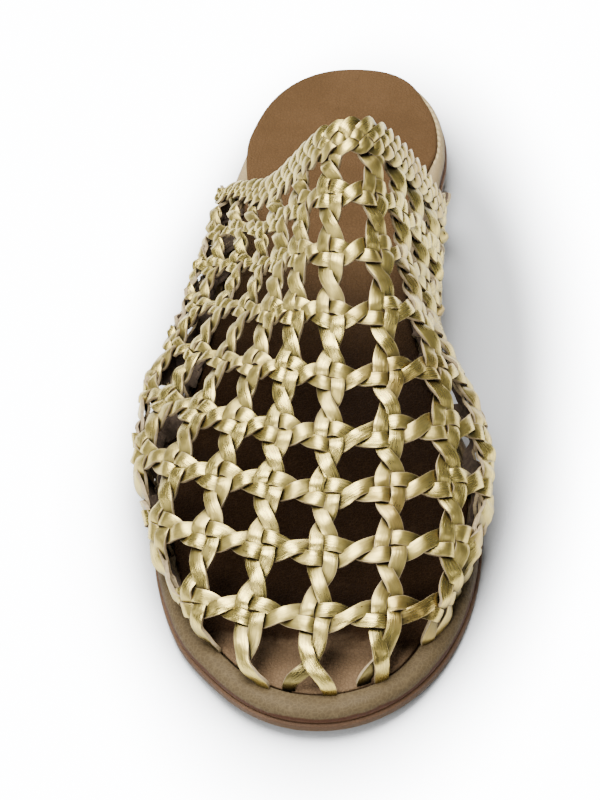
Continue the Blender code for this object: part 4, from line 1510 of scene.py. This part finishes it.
def lay_floor():
    """Matte floor that glows white for the camera, but not close round the shoe: the gap in the glow is a
    painted shadow, wider on the inner side, with a painted contact shadow along the shoe.
    """
    deselect()
    bpy.ops.mesh.primitive_plane_add(size=6.0)
    floor = new_piece("floor")
    mat, tree, skin, place = start_material("pale_floor")
    mottle = use_group(tree, "mottle", Vector=place, Scale=3.0)
    paint = stain_and_shade(tree, (0.50, 0.51, 0.52), mottle["Patches"], 0.3, (0.47, 0.48, 0.49))
    # painted contact shadow: the glow turns black where the shoe shuts the floor in
    glow_colour_with_contact_shadow = mix_colour(tree, shut_in(tree, 32.0, 0.50, 0.97), (0.97, 0.985, 1.0), (0.0, 0.0, 0.0))
    # painted shadow: no glow inside an ellipse round the shoe, set a little towards its inner side
    spot = node(tree, "ShaderNodeMapping")
    spot.inputs["Location"].default_value = (-0.018, 0.0, 0.0)
    spot.inputs["Scale"].default_value = (2.2, 1.0, 1.0)
    plug(tree, spot.inputs["Vector"], place)
    away = node(tree, "ShaderNodeVectorMath", operation="LENGTH")
    plug(tree, away.inputs[0], spot.outputs["Vector"])
    glow = remap(tree, away.outputs["Value"], 0.105, 0.180, 0.0, 14.0)
    seen = node(tree, "ShaderNodeLightPath").outputs
    share = plus(tree, seen["Is Camera Ray"], times(tree, seen["Is Glossy Ray"], 0.16))
    plug_all(tree, skin, {"Base Color": paint, "Roughness": 0.85, "Emission Color": glow_colour_with_contact_shadow,
                          "Emission Strength": times(tree, glow, share)})
    floor.data.materials.append(mat)


def hang_lights(stage):
    """Five square soft lights, the largest over the shoe, under a sky that only the camera sees bright."""
    plan = [
        ("top", (-0.20, 0.10, 1.20), 0.8, 1.0),
        ("back", (-0.25, 1.00, 0.90), 0.8, 0.42),
        ("side", (-1.10, -0.25, 0.60), 0.4, 0.04),
        ("fill", (0.9, -0.5, 0.7), 0.4, 0.03),
        ("front", (-0.35, -1.00, 0.80), 0.5, 0.38),
    ]
    for name, place, size, share in plan:
        light = bpy.data.lights.new(name, "AREA")
        light.shape = "SQUARE"
        light.size = size
        light.energy = stage.key_power * share
        ob = bpy.data.objects.new(name, light)
        bpy.context.scene.collection.objects.link(ob)
        ob.location = place
        ob.rotation_euler = (Vector((0.0, 0.0, 0.03)) - ob.location).to_track_quat("-Z", "Y").to_euler()
    world = bpy.data.worlds.new("studio")
    world.use_nodes = True
    tree = world.node_tree
    seen = node(tree, "ShaderNodeLightPath").outputs["Is Camera Ray"]
    plug_all(tree, tree.nodes["Background"].inputs, {
        "Color": (0.94, 0.97, 1.0), "Strength": plus(tree, times(tree, seen, 14.0), 0.06)})
    bpy.context.scene.world = world


def set_camera(stage):
    """Camera above the toe, looking down along the shoe."""
    data = bpy.data.cameras.new("camera")
    data.lens = stage.lens
    camera = bpy.data.objects.new("camera", data)
    bpy.context.scene.collection.objects.link(camera)
    ahead = (AIM_AT - CAMERA_AT).normalized()
    level = Vector((math.cos(CAMERA_LEVEL), math.sin(CAMERA_LEVEL), 0.0))
    right = (level - ahead * level.dot(ahead)).normalized()
    up = right.cross(ahead)
    turn = Matrix((right, up, -ahead)).transposed()
    camera.matrix_world = Matrix.Translation(CAMERA_AT * MM) @ turn.to_4x4()
    data.clip_start = 0.02
    data.clip_end = 20.0
    bpy.context.scene.camera = camera


class VIEW3D_PT_mule(bpy.types.Panel):
    """Makes the mule piece by piece"""
    bl_label = "Woven mule"
    bl_space_type = "VIEW_3D"
    bl_region_type = "UI"
    bl_category = "Mule"

    def draw(self, context):
        scene = context.scene
        column = self.layout.column(align=True)
        for step in STEPS:
            column.operator(step.bl_idname)
        for group in (scene.mule_weave, scene.mule_colours, scene.mule_stage):
            box = self.layout.box()
            for key in group.__annotations__:
                box.prop(group, key)


STEPS = (
    MULE_OT_prepare_finishes, MULE_OT_cut_outsole, MULE_OT_stack_heel, MULE_OT_shape_rim,
    MULE_OT_lay_footbed, MULE_OT_sew_heel_seat, MULE_OT_weave_lengthwise, MULE_OT_weave_crosswise,
    MULE_OT_plait_topline, MULE_OT_set_stage,
)
CLASSES = (MuleWeaveSizes, MuleColours, MuleStageSettings) + STEPS + (VIEW3D_PT_mule,)


def register():
    for cls in CLASSES:
        bpy.utils.register_class(cls)
    bpy.types.Scene.mule_weave = PointerProperty(type=MuleWeaveSizes)
    bpy.types.Scene.mule_colours = PointerProperty(type=MuleColours)
    bpy.types.Scene.mule_stage = PointerProperty(type=MuleStageSettings)


def unregister():
    del bpy.types.Scene.mule_stage
    del bpy.types.Scene.mule_colours
    del bpy.types.Scene.mule_weave
    for cls in reversed(CLASSES):
        bpy.utils.unregister_class(cls)


def main():
    register()
    for step in STEPS:
        group, name = step.bl_idname.split(".")
        getattr(getattr(bpy.ops, group), name)()


if __name__ == "__main__":
    main()
